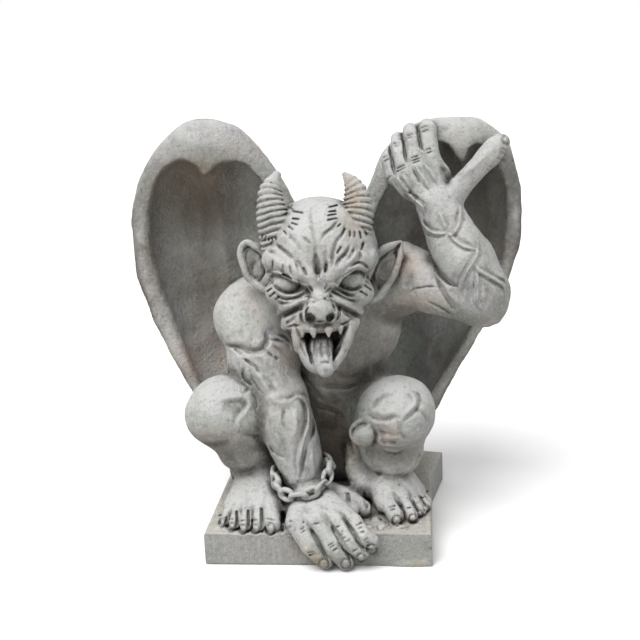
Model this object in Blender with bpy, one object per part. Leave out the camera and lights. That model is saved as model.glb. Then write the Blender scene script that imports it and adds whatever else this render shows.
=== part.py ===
# Stone gargoyle, carved with its plinth from one block.
# The figure is modelled as one lump of clay, a distance field on a grid that is negative
# inside. Each limb, muscle and fold is pressed on or cut away, then the skin is taken from
# the field and joined to the plinth. The figure's points are shares of its own height:
# x to the right, y to the back, z up from the middle of the plinth's top.

import bmesh
import bpy
import numpy as np
import openvdb

# Driving dimensions, in metres
FIGURE_HEIGHT = 1.0
PLINTH_WIDTH = 0.58
PLINTH_DEPTH = 0.58
PLINTH_HEIGHT = 0.087
PLINTH_FLARE = 0.034
PLINTH_FLARE_LENGTH = 0.185
PLINTH_BACK_SKEW = 0.018
FIGURE_SINK = 0.03
TRIANGLES = 9300

# The grid: shares of the height between its planes, and how far round a form it is filled
FINE_STEP = 0.0052
COARSE_STEP = 0.0085
FAR = 0.05

# How the head is held: turned, lifted and cocked, in degrees
HEAD_PLACE = (0.016, -0.100, 0.642)
HEAD_TURN = 5.9
HEAD_LIFT = 12.0
HEAD_COCK = -2.3


def blend(a, b, soft):
    """The lower of two fields, eased by a parabola where they differ by less than soft."""
    near = np.maximum(soft - np.abs(a - b), 0.0) / soft
    return np.minimum(a, b) - near * near * soft / 4


class Clay:
    """A lump of clay: a distance field on a grid of x, y and z planes, negative inside."""

    def __init__(self, planes):
        self.planes = [np.asarray(plane, np.float32) for plane in planes]
        self.field = np.full([len(plane) for plane in self.planes], FAR, np.float32)

    def window(self, low, high):
        """The part of the grid between two corners, with its planes."""
        part = tuple(slice(*np.searchsorted(plane, (start - FAR, end + FAR)))
                     for plane, start, end in zip(self.planes, low, high))
        planes = [plane[span] for plane, span in zip(self.planes, part)]
        return part, np.meshgrid(*planes, indexing="ij", sparse=True)

    def add(self, form, soft):
        """Press a form on, with a fillet of about the size soft."""
        distance, low, high = form
        part, places = self.window(low, high)
        if self.field[part].size:
            self.field[part] = blend(self.field[part], distance(*places), soft)

    def cut(self, form, soft):
        """Cut a form away, with an edge rounded by about the size soft."""
        distance, low, high = form
        part, places = self.window(low, high)
        if self.field[part].size:
            self.field[part] = -blend(-self.field[part], distance(*places), soft)


def ball(centre, radii, turn=None):
    """An ellipsoid, |p/r| (|p/r| - 1) / |p/r^2|, with its axes along the rows of turn."""
    centre = np.asarray(centre, float)
    radii = np.ones(3) * radii
    rows = np.eye(3) if turn is None else turn
    reach = np.sqrt((rows * radii[:, None]) ** 2).sum(axis=0)

    def distance(x, y, z):
        offset = (x - centre[0], y - centre[1], z - centre[2])
        once, twice = 0.0, 0.0
        for row, radius in zip(rows, radii):
            along = (row[0] * offset[0] + row[1] * offset[1] + row[2] * offset[2]) / radius
            once = once + along ** 2
            twice = twice + (along / radius) ** 2
        once = np.sqrt(once)
        return once * (once - 1.0) / np.maximum(np.sqrt(twice), 1e-6)

    return distance, centre - reach, centre + reach


def limb(points, radii):
    """A chain of round cones: the least distance to each stretch, less its own radius there."""
    points = np.asarray(points, float)
    radii = np.ones(len(points)) * radii

    def distance(x, y, z):
        least = None
        for start, end, first, last in zip(points[:-1], points[1:], radii[:-1], radii[1:]):
            run = end - start
            offset = (x - start[0], y - start[1], z - start[2])
            share = sum(o * r for o, r in zip(offset, run)) / max(float(run @ run), 1e-9)
            share = np.clip(share, 0.0, 1.0)
            gap = np.sqrt(sum((o - share * r) ** 2 for o, r in zip(offset, run)))
            gap = gap - (first + (last - first) * share)
            least = gap if least is None else np.minimum(least, gap)
        return least

    reach = radii.max()
    return distance, points.min(axis=0) - reach, points.max(axis=0) + reach


def smooth_path(knots, steps, closed=False):
    """A Catmull-Rom curve through the knots, with the given steps between each two."""
    knots = np.asarray(knots, float)
    if closed:
        padded = np.vstack([knots[-1:], knots, knots[:2]])
    else:
        padded = np.vstack([2 * knots[0] - knots[1], knots, 2 * knots[-1] - knots[-2]])
    share = np.linspace(0.0, 1.0, steps, endpoint=False)[:, None]
    spans = []
    for a, b, c, d in zip(padded[:-3], padded[1:-2], padded[2:-1], padded[3:]):
        spans.append(0.5 * (2 * b + (c - a) * share + (2 * a - 5 * b + 4 * c - d) * share ** 2
                            + (3 * b - a - 3 * c + d) * share ** 3))
    if not closed:
        spans.append(knots[-1:])
    return np.vstack(spans)


def bent_limb(knots, radii, steps=6):
    """A limb along a smooth curve through the knots, its radius eased from knot to knot."""
    radii = np.ones(len(knots)) * radii
    path = smooth_path(np.column_stack([knots, radii]), steps)
    return limb(path[:, :3], path[:, 3])


def turned(angle, first, second):
    """A rotation by an angle in degrees in the plane of two axes."""
    turn = np.eye(3)
    angle = np.radians(angle)
    turn[first, first] = turn[second, second] = np.cos(angle)
    turn[first, second] = -np.sin(angle)
    turn[second, first] = np.sin(angle)
    return turn


# The head's own axes: across its face, out of its back and up
HEAD_AXES = (turned(HEAD_TURN, 0, 1) @ turned(-HEAD_LIFT, 1, 2) @ turned(HEAD_COCK, 0, 2)).T


def face(across, out, up):
    """A point of the head, in shares, from its own axes to the figure's."""
    return np.asarray(HEAD_PLACE) + np.array([across, -out, up]) @ HEAD_AXES


def face_ball(across, out, up, radii):
    """An ellipsoid on the head, its radii across, out and up."""
    return ball(face(across, out, up), radii, HEAD_AXES)


def face_limb(rows):
    """A smooth limb on the head, from rows of across, out, up and radius."""
    return bent_limb([face(*row[:3]) for row in rows], [row[3] for row in rows], 4)


def add_torso(clay):
    """The hunched body: pelvis, belly, ribs, back, neck and the slopes of the shoulders."""
    clay.add(ball((0.02, 0.130, 0.130), (0.190, 0.140, 0.160)), 0.03)
    clay.add(ball((0.03, 0.090, 0.300), (0.125, 0.120, 0.150)), 0.05)
    clay.add(ball((0.02, 0.085, 0.450), (0.195, 0.125, 0.150)), 0.05)
    clay.add(ball((0.02, 0.150, 0.520), (0.200, 0.110, 0.140)), 0.05)
    clay.add(limb([(0.02, 0.09, 0.55), (0.018, -0.01, 0.62)], [0.125, 0.110]), 0.04)
    clay.add(limb([(0.06, 0.06, 0.590), (0.210, 0.06, 0.570)], [0.085, 0.080]), 0.04)
    clay.add(limb([(-0.03, 0.05, 0.560), (-0.170, 0.03, 0.520)], [0.085, 0.080]), 0.04)


def add_leg(clay, hip, knee, knee_radii, calf, ankle, shin_radii):
    """A folded leg: thigh, round knee, and the shin that runs back down to the ankle."""
    clay.add(limb([hip, knee], [0.115, 0.080]), 0.04)
    clay.add(ball(knee, knee_radii), 0.02)
    clay.add(limb([knee, calf, ankle], shin_radii), 0.03)


def add_foot(clay, ankle, heel, toes):
    """A foot: the heel, a bone from the ankle to each toe, and toes lying on the stone."""
    clay.add(limb([ankle, heel], [0.056, 0.038]), 0.03)
    for tip, knuckle, radius in toes:
        clay.add(limb([ankle, knuckle], [0.054, radius + 0.010]), 0.016)
        middle = 0.5 * (np.array(tip) + knuckle) + (0.0, 0.0, 0.006)
        clay.add(limb([knuckle, middle, tip], [radius + 0.004, radius, radius]), 0.006)


def add_legs(clay):
    """Both legs, crouching, with the knees thrust forward of the feet's insteps."""
    add_leg(clay, (-0.110, 0.120, 0.190), (-0.245, -0.110, 0.264), (0.110, 0.105, 0.098),
            (-0.210, -0.080, 0.165), (-0.180, -0.045, 0.080), (0.080, 0.076, 0.056))
    add_leg(clay, (0.120, 0.120, 0.190), (0.203, -0.120, 0.262), (0.101, 0.105, 0.096),
            (0.186, -0.075, 0.155), (0.172, -0.030, 0.090), (0.080, 0.086, 0.060))
    clay.add(ball((0.120, -0.175, 0.228), (0.038, 0.036, 0.038)), 0.012)
    add_foot(clay, (-0.178, -0.070, 0.066), (-0.180, 0.040, 0.030), [
        ((-0.113, -0.272, 0.018), (-0.126, -0.205, 0.032), 0.0200),
        ((-0.150, -0.270, 0.015), (-0.156, -0.206, 0.034), 0.0165),
        ((-0.184, -0.267, 0.014), (-0.185, -0.200, 0.033), 0.0160),
        ((-0.215, -0.256, 0.013), (-0.212, -0.190, 0.030), 0.0150),
        ((-0.243, -0.235, 0.012), (-0.237, -0.172, 0.026), 0.0140)])
    add_foot(clay, (0.168, -0.060, 0.082), (0.125, 0.050, 0.030), [
        ((0.196, -0.222, 0.020), (0.168, -0.170, 0.034), 0.0220),
        ((0.238, -0.210, 0.015), (0.210, -0.155, 0.034), 0.0165),
        ((0.260, -0.177, 0.014), (0.230, -0.128, 0.032), 0.0155),
        ((0.272, -0.145, 0.013), (0.244, -0.100, 0.029), 0.0145),
        ((0.276, -0.112, 0.012), (0.252, -0.072, 0.026), 0.0135)])


def add_hand(clay, wrist, palm, fingers, thumb):
    """A hand: a bone from the wrist to each knuckle, jointed fingers, and a thumb."""
    for centre, radii in palm:
        clay.add(ball(centre, radii), 0.02)
    for knots, radii in fingers:
        clay.add(limb([wrist, knots[0]], [0.036, radii[0] + 0.003]), 0.014)
        clay.add(limb(knots, radii), 0.005)
    clay.add(limb(*thumb), 0.012)


def add_lowered_arm(clay):
    """The arm that leans on the plinth, its fingers hooked over the plinth's front edge."""
    edge = -PLINTH_DEPTH / 2 / FIGURE_HEIGHT
    drop = -PLINTH_HEIGHT / FIGURE_HEIGHT
    clay.add(ball((-0.186, 0.010, 0.502), (0.104, 0.100, 0.108)), 0.03)
    clay.add(ball((-0.150, -0.040, 0.380), (0.092, 0.085, 0.098)), 0.02)
    clay.add(limb([(-0.186, 0.0, 0.470), (-0.148, -0.045, 0.370), (-0.100, -0.095, 0.305)],
                  [0.080, 0.085, 0.064]), 0.02)
    clay.add(limb([(-0.099, -0.100, 0.307), (-0.089, -0.120, 0.245), (-0.068, -0.130, 0.187),
                   (-0.044, -0.143, 0.110)], [0.064, 0.074, 0.064, 0.051]), 0.02)
    wrist = (-0.030, -0.165, 0.072)
    knuckles = [(-0.050, 0.030), (0.003, 0.034), (0.053, 0.034), (0.096, 0.030)]
    tips = [(0.022, 0.66), (0.073, 0.70), (0.114, 0.40), (0.141, 0.06)]
    widths = [0.0280, 0.0270, 0.0250, 0.0230]
    fingers = []
    for (x, z), (tip_x, fall), width in zip(knuckles, tips, widths):
        middle = (0.5 * (x + tip_x), edge - 0.030, 0.010 + 0.42 * fall * drop)
        tip = (tip_x, edge - 0.026, fall * drop)
        fingers.append(([(x, edge + 0.005, z), middle, tip], [width, width * 0.92, width * 0.80]))
    palm = [((0.010, -0.215, 0.034), (0.095, 0.070, 0.034))]
    thumb = ([(-0.002, -0.150, 0.050), (0.060, -0.160, 0.040), (0.112, -0.190, 0.024)],
             [0.038, 0.032, 0.024])
    add_hand(clay, wrist, palm, fingers, thumb)


def add_bracelet(clay):
    """A chain of oval links lying round the wrist, as a ring that swells at each link."""
    ring = smooth_path([(-0.112, -0.140, 0.092), (-0.101, -0.180, 0.076), (-0.069, -0.204, 0.074),
                        (-0.034, -0.212, 0.079), (0.004, -0.203, 0.088), (0.026, -0.175, 0.098),
                        (0.026, -0.130, 0.110), (-0.040, -0.090, 0.115), (-0.100, -0.100, 0.105)],
                       8, closed=True)
    beat = np.arange(len(ring)) * np.pi / 3
    clay.add(limb(np.vstack([ring, ring[:1]]), 0.0105 + 0.0025 * np.cos(np.append(beat, 0.0))), 0.004)


def add_raised_arm(clay):
    """The arm that is thrown up, its hand gripping the rim of the wing behind it."""
    clay.add(ball((0.205, 0.060, 0.575), (0.088, 0.085, 0.092)), 0.03)
    clay.add(limb([(0.218, 0.050, 0.594), (0.297, 0.010, 0.572), (0.415, -0.045, 0.552)],
                  [0.084, 0.074, 0.068]), 0.02)
    clay.add(ball((0.427, -0.050, 0.547), (0.073, 0.068, 0.073)), 0.02)
    clay.add(limb([(0.420, -0.050, 0.570), (0.387, -0.040, 0.648), (0.355, -0.028, 0.702),
                   (0.316, -0.008, 0.786)], [0.072, 0.076, 0.065, 0.056]), 0.02)
    fingers = [
        ([(0.205, 0.035, 0.858), (0.193, 0.062, 0.898), (0.196, 0.110, 0.912)], [0.0210, 0.020, 0.018]),
        ([(0.232, 0.026, 0.886), (0.217, 0.055, 0.932), (0.217, 0.110, 0.945)], [0.0230, 0.021, 0.019]),
        ([(0.262, 0.020, 0.905), (0.252, 0.050, 0.958), (0.250, 0.110, 0.968)], [0.0240, 0.022, 0.020]),
        ([(0.298, 0.020, 0.920), (0.294, 0.048, 0.974), (0.292, 0.110, 0.980)], [0.0240, 0.022, 0.020])]
    palm = [((0.280, 0.018, 0.850), (0.074, 0.032, 0.062))]
    thumb = ([(0.345, -0.002, 0.800), (0.380, 0.000, 0.836), (0.416, 0.008, 0.872),
              (0.448, 0.022, 0.905), (0.478, 0.046, 0.934)], [0.036, 0.028, 0.025, 0.025, 0.022])
    add_hand(clay, (0.316, 0.000, 0.800), palm, fingers, thumb)


def add_skull(clay):
    """The head's main masses: dome, brow, cheekbones, muzzle and nose."""
    clay.add(face_ball(0.000, 0.000, 0.045, (0.147, 0.160, 0.140)), 0.03)
    clay.add(face_ball(0.000, 0.040, -0.080, (0.100, 0.120, 0.095)), 0.03)
    for side in (-1, 1):
        clay.add(face_ball(0.088 * side, 0.078, -0.056, (0.046, 0.050, 0.038)), 0.02)
        clay.add(face_limb([(0.116 * side, 0.085, 0.028, 0.028), (0.085 * side, 0.122, 0.016, 0.030),
                            (0.048 * side, 0.146, -0.008, 0.030),
                            (0.016 * side, 0.156, -0.032, 0.020)]), 0.020)
    clay.add(face_ball(0.000, 0.118, -0.105, (0.072, 0.074, 0.050)), 0.025)
    clay.add(face_limb([(0.0, 0.140, -0.040, 0.022), (0.0, 0.168, -0.072, 0.028)]), 0.015)
    clay.add(face_ball(-0.003, 0.183, -0.104, (0.042, 0.032, 0.034)), 0.012)


def add_eyes(clay):
    """Sunken eyeballs under heavy lids that slant down towards the nose."""
    for side in (-1, 1):
        clay.cut(face_ball(0.078 * side, 0.132, -0.034, (0.045, 0.036, 0.027)), 0.008)
        clay.add(face_ball(0.076 * side, 0.098, -0.034, (0.037, 0.037, 0.034)), 0.003)
        clay.add(face_limb([(0.118 * side, 0.088, -0.026, 0.007), (0.092 * side, 0.122, -0.010, 0.008),
                            (0.062 * side, 0.134, -0.024, 0.007)]), 0.005)
        clay.add(face_limb([(0.114 * side, 0.090, -0.046, 0.007), (0.080 * side, 0.120, -0.064, 0.008),
                            (0.042 * side, 0.136, -0.054, 0.006)]), 0.008)


def add_mouth(clay):
    """The roaring mouth: lips, a jaw bent like a horseshoe, the hollow, tongue and fangs."""
    clay.add(face_limb([(-0.076, 0.080, -0.134, 0.015), (-0.042, 0.145, -0.134, 0.018),
                        (0.000, 0.165, -0.136, 0.019), (0.040, 0.145, -0.132, 0.018),
                        (0.074, 0.080, -0.128, 0.015)]), 0.015)
    clay.add(face_ball(0.004, 0.050, -0.195, (0.052, 0.080, 0.050)), 0.02)
    clay.add(face_limb([(-0.073, 0.070, -0.140, 0.015), (-0.059, 0.112, -0.180, 0.015),
                        (-0.041, 0.140, -0.214, 0.016), (-0.014, 0.158, -0.234, 0.016),
                        (0.026, 0.158, -0.232, 0.016), (0.048, 0.140, -0.208, 0.016),
                        (0.063, 0.112, -0.174, 0.015), (0.075, 0.070, -0.132, 0.015)]), 0.012)
    clay.cut(face_ball(0.000, 0.125, -0.166, (0.060, 0.085, 0.022)), 0.008)
    clay.cut(face_ball(0.004, 0.125, -0.192, (0.040, 0.085, 0.032)), 0.010)
    clay.add(face_limb([(0.002, 0.050, -0.180, 0.034), (0.004, 0.110, -0.204, 0.028),
                        (0.010, 0.150, -0.226, 0.022), (0.015, 0.176, -0.240, 0.017)]), 0.005)
    for across, out, up in ((-0.043, 0.146, -0.144), (-0.014, 0.160, -0.147),
                            (0.019, 0.160, -0.146), (0.048, 0.142, -0.140)):
        clay.add(limb([face(across, out, up), face(across, out + 0.004, up - 0.018)], [0.009, 0.002]), 0.003)
    for across, up in ((-0.053, -0.160), (0.062, -0.160)):
        clay.add(limb([face(across * 0.85, 0.128, up - 0.026), face(across * 1.1, 0.118, up + 0.026)],
                      [0.013, 0.004]), 0.004)


def add_snout(clay):
    """Nostrils, and the thick folds that run from the nose across the cheeks."""
    for side in (-1, 1):
        clay.add(face_ball(0.030 * side - 0.002, 0.172, -0.112, (0.020, 0.022, 0.020)), 0.010)
        clay.add(face_limb([(0.030 * side, 0.160, -0.074, 0.011), (0.062 * side, 0.136, -0.082, 0.015),
                            (0.091 * side, 0.094, -0.100, 0.013)]), 0.008)
        clay.cut(limb([face(0.026 * side - 0.001, 0.222, -0.118), face(0.023 * side, 0.165, -0.110)],
                      [0.0115, 0.009]), 0.006)


def add_ears(clay):
    """Bat-like ears, the right one the larger, each cupped towards the front."""
    clay.add(face_limb([(-0.140, -0.015, -0.030, 0.016), (-0.180, -0.020, 0.000, 0.014),
                        (-0.198, -0.028, 0.044, 0.010), (-0.196, -0.034, 0.070, 0.005)]), 0.012)
    clay.add(face_ball(-0.165, -0.024, 0.018, (0.032, 0.014, 0.050)), 0.010)
    clay.cut(face_ball(-0.168, 0.004, 0.014, (0.018, 0.018, 0.036)), 0.006)
    clay.add(face_limb([(0.138, -0.010, -0.070, 0.014), (0.178, -0.018, -0.034, 0.014),
                        (0.200, -0.028, 0.018, 0.011), (0.206, -0.038, 0.070, 0.005)]), 0.012)
    clay.add(face_limb([(0.135, 0.000, 0.030, 0.018), (0.172, -0.014, 0.052, 0.012),
                        (0.206, -0.036, 0.071, 0.005)]), 0.010)
    clay.add(face_ball(0.165, -0.034, 0.000, (0.040, 0.014, 0.058)), 0.010)
    clay.cut(face_ball(0.166, 0.002, -0.006, (0.024, 0.022, 0.038)), 0.008)


def add_horns(clay):
    """Short thick horns that curl towards each other at the tips."""
    clay.add(face_limb([(-0.106, 0.030, 0.095, 0.043), (-0.120, 0.038, 0.150, 0.034),
                        (-0.124, 0.040, 0.194, 0.025), (-0.106, 0.040, 0.232, 0.009)]), 0.010)
    clay.add(face_limb([(0.092, 0.030, 0.100, 0.040), (0.095, 0.038, 0.165, 0.034),
                        (0.084, 0.040, 0.212, 0.026), (0.062, 0.040, 0.236, 0.010)]), 0.010)


def loop_distance(x, z, loop):
    """Distance to a smooth closed loop in the x-z plane, negative inside, by crossings."""
    path = smooth_path(loop, 8, closed=True)
    least = np.full(np.broadcast(x, z).shape, 9.0)
    inside = np.zeros(least.shape, bool)
    for (ax, az), (bx, bz) in zip(path, np.roll(path, -1, axis=0)):
        share = np.clip(((x - ax) * (bx - ax) + (z - az) * (bz - az))
                        / ((bx - ax) ** 2 + (bz - az) ** 2), 0.0, 1.0)
        gap = (x - ax - share * (bx - ax)) ** 2 + (z - az - share * (bz - az)) ** 2
        least = np.minimum(least, gap)
        if az != bz:
            inside ^= ((z >= az) != (z >= bz)) & (x < ax + (z - az) / (bz - az) * (bx - ax))
    return np.where(inside, -1.0, 1.0) * np.sqrt(least)


def dish(depth_in, span, rise, away):
    """Distance to a surface that leaves its rim like an ellipse of the given span and rise."""
    across = np.clip(1.0 - depth_in / span, 0.0, None)
    once = np.sqrt(across ** 2 + (away / rise) ** 2)
    twice = np.sqrt((across / span) ** 2 + (away / rise ** 2) ** 2)
    return once * (once - 1.0) / np.maximum(twice, 1e-6)


# A wing: its outline, its hollow's outline with the two arches of the hood, how far the rim
# leans forward at the foot, and the line of the faint ridge down the hollow
WINGS = (
    dict(side=-1, foot_forward=0.085, ridge=((-0.306, 0.86), (-0.270, 0.20)),
         outline=[(-0.300, 1.012), (-0.374, 0.996), (-0.454, 0.922), (-0.507, 0.818), (-0.523, 0.690),
                  (-0.511, 0.560), (-0.466, 0.425), (-0.384, 0.262), (-0.310, 0.110), (-0.262, -0.020),
                  (-0.160, -0.060), (-0.010, 0.040), (0.010, 0.350), (-0.010, 0.620), (-0.078, 0.780),
                  (-0.142, 0.895), (-0.210, 0.980)],
         hollow=[(-0.306, 0.862), (-0.338, 0.900), (-0.375, 0.908), (-0.415, 0.888), (-0.447, 0.835),
                 (-0.468, 0.750), (-0.466, 0.640), (-0.436, 0.500), (-0.380, 0.340), (-0.325, 0.200),
                 (-0.240, 0.100), (-0.150, 0.200), (-0.110, 0.450), (-0.115, 0.700), (-0.150, 0.815),
                 (-0.185, 0.875), (-0.225, 0.899), (-0.265, 0.893)]),
    dict(side=1, foot_forward=-0.095, ridge=((0.383, 0.88), (0.270, 0.20)),
         outline=[(0.372, 0.998), (0.440, 0.986), (0.502, 0.926), (0.532, 0.835), (0.540, 0.715),
                  (0.516, 0.585), (0.450, 0.440), (0.342, 0.232), (0.272, 0.085), (0.218, -0.020),
                  (0.120, -0.060), (0.010, 0.040), (-0.010, 0.350), (0.015, 0.640), (0.120, 0.795),
                  (0.166, 0.900), (0.238, 0.968), (0.305, 0.996)],
         hollow=[(0.383, 0.885), (0.405, 0.920), (0.436, 0.922), (0.466, 0.890), (0.488, 0.830),
                 (0.497, 0.730), (0.486, 0.630), (0.450, 0.520), (0.380, 0.380), (0.290, 0.220),
                 (0.210, 0.100), (0.150, 0.200), (0.120, 0.450), (0.130, 0.680), (0.180, 0.800),
                 (0.235, 0.880), (0.290, 0.925), (0.345, 0.928)]))
WING_RIM = 0.175
WING_LEAN = 0.150
WING_FRONT_SPAN = 0.160
WING_BACK_SPAN = 0.240
WING_HOLLOW_SPAN = 0.150
WING_BULGE = 0.140
WING_WALL = 0.026
WING_RIDGE = 0.008


def add_wing(clay, wing):
    """A scoop: a convex shell inside the outline, cut by a hollow that the hood overhangs."""
    side = wing["side"]
    outline = np.array(wing["outline"])
    low = np.array([outline[:, 0].min(), 0.00, outline[:, 1].min()])
    high = np.array([outline[:, 0].max(), 0.36, outline[:, 1].max()])
    (top_x, top_z), (foot_x, foot_z) = wing["ridge"]

    def distance(x, y, z):
        rim = WING_RIM - WING_LEAN * np.clip(side * x - 0.09, 0.0, None)
        rim = rim - wing["foot_forward"] * np.clip(1.0 - z / 0.5, 0.0, 1.0)
        inward = -loop_distance(x, z, wing["outline"])
        hood = np.clip((z - 0.72) / 0.20, 0.0, 1.0)
        front_rise = 0.022 + 0.040 * hood * hood * (3 - 2 * hood)
        bulge = WING_BULGE * (0.36 + 0.64 * np.clip(z / 0.35, 0.0, 1.0))
        away = y - rim
        shell = np.where(away > 0, dish(inward, WING_BACK_SPAN, bulge, away),
                         dish(inward, WING_FRONT_SPAN, front_rise, away))
        ridge_x = foot_x + (top_x - foot_x) * (z - foot_z) / (top_z - foot_z)
        floor = bulge - WING_WALL - WING_RIDGE * np.exp(-((x - ridge_x) / 0.022) ** 2)
        inset = -loop_distance(x, z, wing["hollow"])
        scoop = np.where(away > 0, dish(inset, WING_HOLLOW_SPAN, floor, away), -inset)
        return -blend(-shell, scoop, 0.012)

    clay.add((distance, low, high), 0.02)


def grid_planes():
    """Planes that lie close together over the head and hands and wider over the wings."""
    front = -PLINTH_DEPTH / 2 / FIGURE_HEIGHT - 0.075
    foot = -PLINTH_HEIGHT / FIGURE_HEIGHT - 0.023
    planes = []
    for stops in ([(-0.56, COARSE_STEP), (-0.30, FINE_STEP), (0.32, COARSE_STEP), (0.58, None)],
                  [(front, FINE_STEP), (0.05, COARSE_STEP), (0.36, None)],
                  [(foot, FINE_STEP), (0.10, COARSE_STEP), (0.38, FINE_STEP), (0.90, COARSE_STEP),
                   (1.04, None)]):
        runs = [np.arange(start, end, step) for (start, step), (end, _) in zip(stops[:-1], stops[1:])]
        planes.append(np.concatenate(runs))
    return planes


def carve_figure():
    """The whole figure in clay, from the inside out."""
    clay = Clay(grid_planes())
    for wing in WINGS:
        add_wing(clay, wing)
    add_torso(clay)
    add_legs(clay)
    add_raised_arm(clay)
    add_lowered_arm(clay)
    add_bracelet(clay)
    add_skull(clay)
    add_eyes(clay)
    add_mouth(clay)
    add_snout(clay)
    add_ears(clay)
    add_horns(clay)
    sunk = (clay.planes[1][None, :, None] > -PLINTH_DEPTH / 2 / FIGURE_HEIGHT)
    floor = -clay.planes[2][None, None, :] - FIGURE_SINK / FIGURE_HEIGHT
    clay.field = np.where(sunk, np.maximum(clay.field, floor), clay.field)
    return clay


def skin(clay):
    """The clay's surface as points in metres and quads, by the level set's own mesher."""
    grid = openvdb.FloatGrid(FAR)
    grid.copyFromArray(np.clip(clay.field, -FAR, FAR), tolerance=1e-6)
    points, quads = grid.convertToQuads(isovalue=0.0)
    places = [np.interp(points[:, axis], np.arange(len(plane)), plane)
              for axis, plane in enumerate(clay.planes)]
    return np.column_stack(places) * FIGURE_HEIGHT + (0.0, 0.0, PLINTH_HEIGHT), quads


def stone(name, colour, roughness):
    """A plain stone material."""
    material = bpy.data.materials.new(name)
    material.use_nodes = True
    shader = material.node_tree.nodes["Principled BSDF"]
    shader.inputs["Base Color"].default_value = (*colour, 1.0)
    shader.inputs["Roughness"].default_value = roughness
    shader.inputs["Metallic"].default_value = 0.0
    return material


def keep_largest(mesh):
    """Delete every loose body of the mesh but the largest one, and face it outwards."""
    bm = bmesh.new()
    bm.from_mesh(mesh)
    left = set(bm.verts)
    bodies = []
    while left:
        found = [left.pop()]
        for vertex in found:
            for edge in vertex.link_edges:
                other = edge.other_vert(vertex)
                if other in left:
                    left.remove(other)
                    found.append(other)
        bodies.append(found)
    bodies.sort(key=len)
    for body in bodies[:-1]:
        bmesh.ops.delete(bm, geom=body, context="VERTS")
    if bm.calc_volume(signed=True) < 0:
        bmesh.ops.reverse_faces(bm, faces=bm.faces)
    bm.to_mesh(mesh)
    bm.free()


def make_figure(material):
    """The carved figure as one mesh, thinned to the triangles that its form needs."""
    points, quads = skin(carve_figure())
    mesh = bpy.data.meshes.new("gargoyle")
    mesh.from_pydata(points.tolist(), [], quads.tolist())
    keep_largest(mesh)
    mesh.materials.append(material)
    figure = bpy.data.objects.new("gargoyle", mesh)
    bpy.context.collection.objects.link(figure)
    thin = figure.modifiers.new("thin", "DECIMATE")
    thin.ratio = TRIANGLES / (2 * len(quads))
    thin.use_collapse_triangulate = True
    return figure


def make_plinth_block():
    """The squared plinth, whose right side steps outwards towards the back corner."""
    half, deep = PLINTH_WIDTH / 2, PLINTH_DEPTH / 2
    corner = deep - PLINTH_BACK_SKEW
    plan = [(-half, -deep), (half, -deep), (half, corner - PLINTH_FLARE_LENGTH),
            (half + PLINTH_FLARE, corner), (half - PLINTH_FLARE, deep), (-half, deep)]
    bm = bmesh.new()
    base = bm.faces.new([bm.verts.new((x, y, 0.0)) for x, y in plan])
    raised = bmesh.ops.extrude_face_region(bm, geom=[base])["geom"]
    corners = [item for item in raised if isinstance(item, bmesh.types.BMVert)]
    bmesh.ops.translate(bm, vec=(0.0, 0.0, PLINTH_HEIGHT), verts=corners)
    bmesh.ops.recalc_face_normals(bm, faces=bm.faces)
    mesh = bpy.data.meshes.new("plinth_block")
    bm.to_mesh(mesh)
    bm.free()
    block = bpy.data.objects.new("plinth_block", mesh)
    block.hide_render = True
    block.display_type = "WIRE"
    bpy.context.collection.objects.link(block)
    return block


for leftover in list(bpy.data.objects):
    bpy.data.objects.remove(leftover)
gargoyle = make_figure(stone("pale_stone", (0.62, 0.61, 0.57), 0.9))
join = gargoyle.modifiers.new("plinth", "BOOLEAN")
join.operation = "UNION"
join.solver = "EXACT"
join.object = make_plinth_block()
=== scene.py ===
# Stone gargoyle, carved together with its plinth from one block of pale stone.

import bpy
import numpy as np
import openvdb
from mathutils import Matrix, Vector


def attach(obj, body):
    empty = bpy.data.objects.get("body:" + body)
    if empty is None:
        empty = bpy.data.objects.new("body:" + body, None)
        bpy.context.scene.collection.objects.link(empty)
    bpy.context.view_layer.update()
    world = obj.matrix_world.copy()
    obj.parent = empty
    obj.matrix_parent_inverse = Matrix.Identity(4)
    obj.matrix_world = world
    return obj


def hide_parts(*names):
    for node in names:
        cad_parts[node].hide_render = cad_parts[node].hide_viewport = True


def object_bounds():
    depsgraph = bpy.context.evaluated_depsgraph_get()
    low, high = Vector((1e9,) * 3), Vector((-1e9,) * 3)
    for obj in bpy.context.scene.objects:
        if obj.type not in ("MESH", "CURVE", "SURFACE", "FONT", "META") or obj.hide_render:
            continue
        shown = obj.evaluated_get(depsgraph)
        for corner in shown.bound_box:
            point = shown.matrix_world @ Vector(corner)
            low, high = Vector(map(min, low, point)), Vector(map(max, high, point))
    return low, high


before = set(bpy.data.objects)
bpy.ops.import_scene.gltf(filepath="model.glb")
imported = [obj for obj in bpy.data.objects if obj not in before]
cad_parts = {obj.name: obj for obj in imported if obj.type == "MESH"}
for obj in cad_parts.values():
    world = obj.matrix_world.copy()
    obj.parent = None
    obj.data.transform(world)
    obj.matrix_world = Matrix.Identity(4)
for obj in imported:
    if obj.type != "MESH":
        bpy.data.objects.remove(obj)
cad_low, cad_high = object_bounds()


# The block
# The figure and its plinth are one stone, so they are carved here as one field of distances
# on a grid, negative inside the stone. Planes lie closest over the head, the lowered hand and
# the feet. Lengths are shares of the figure's height, up from the middle of the plinth's top.

FIGURE_HEIGHT = 1.0
PLINTH_WIDTH = 0.58
PLINTH_DEPTH = 0.58
PLINTH_HEIGHT = 0.087
FAR = 0.05
HEAD_STEP = 0.0020
ARM_STEP = 0.0030
WING_STEP = 0.0046


def grid_planes(*stops):
    """Planes along one axis: from each stop to the next at that stop's own step."""
    runs = [np.arange(start, end, step) for (start, step), (end, _) in zip(stops[:-1], stops[1:])]
    return np.concatenate(runs).astype(np.float32)


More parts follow.
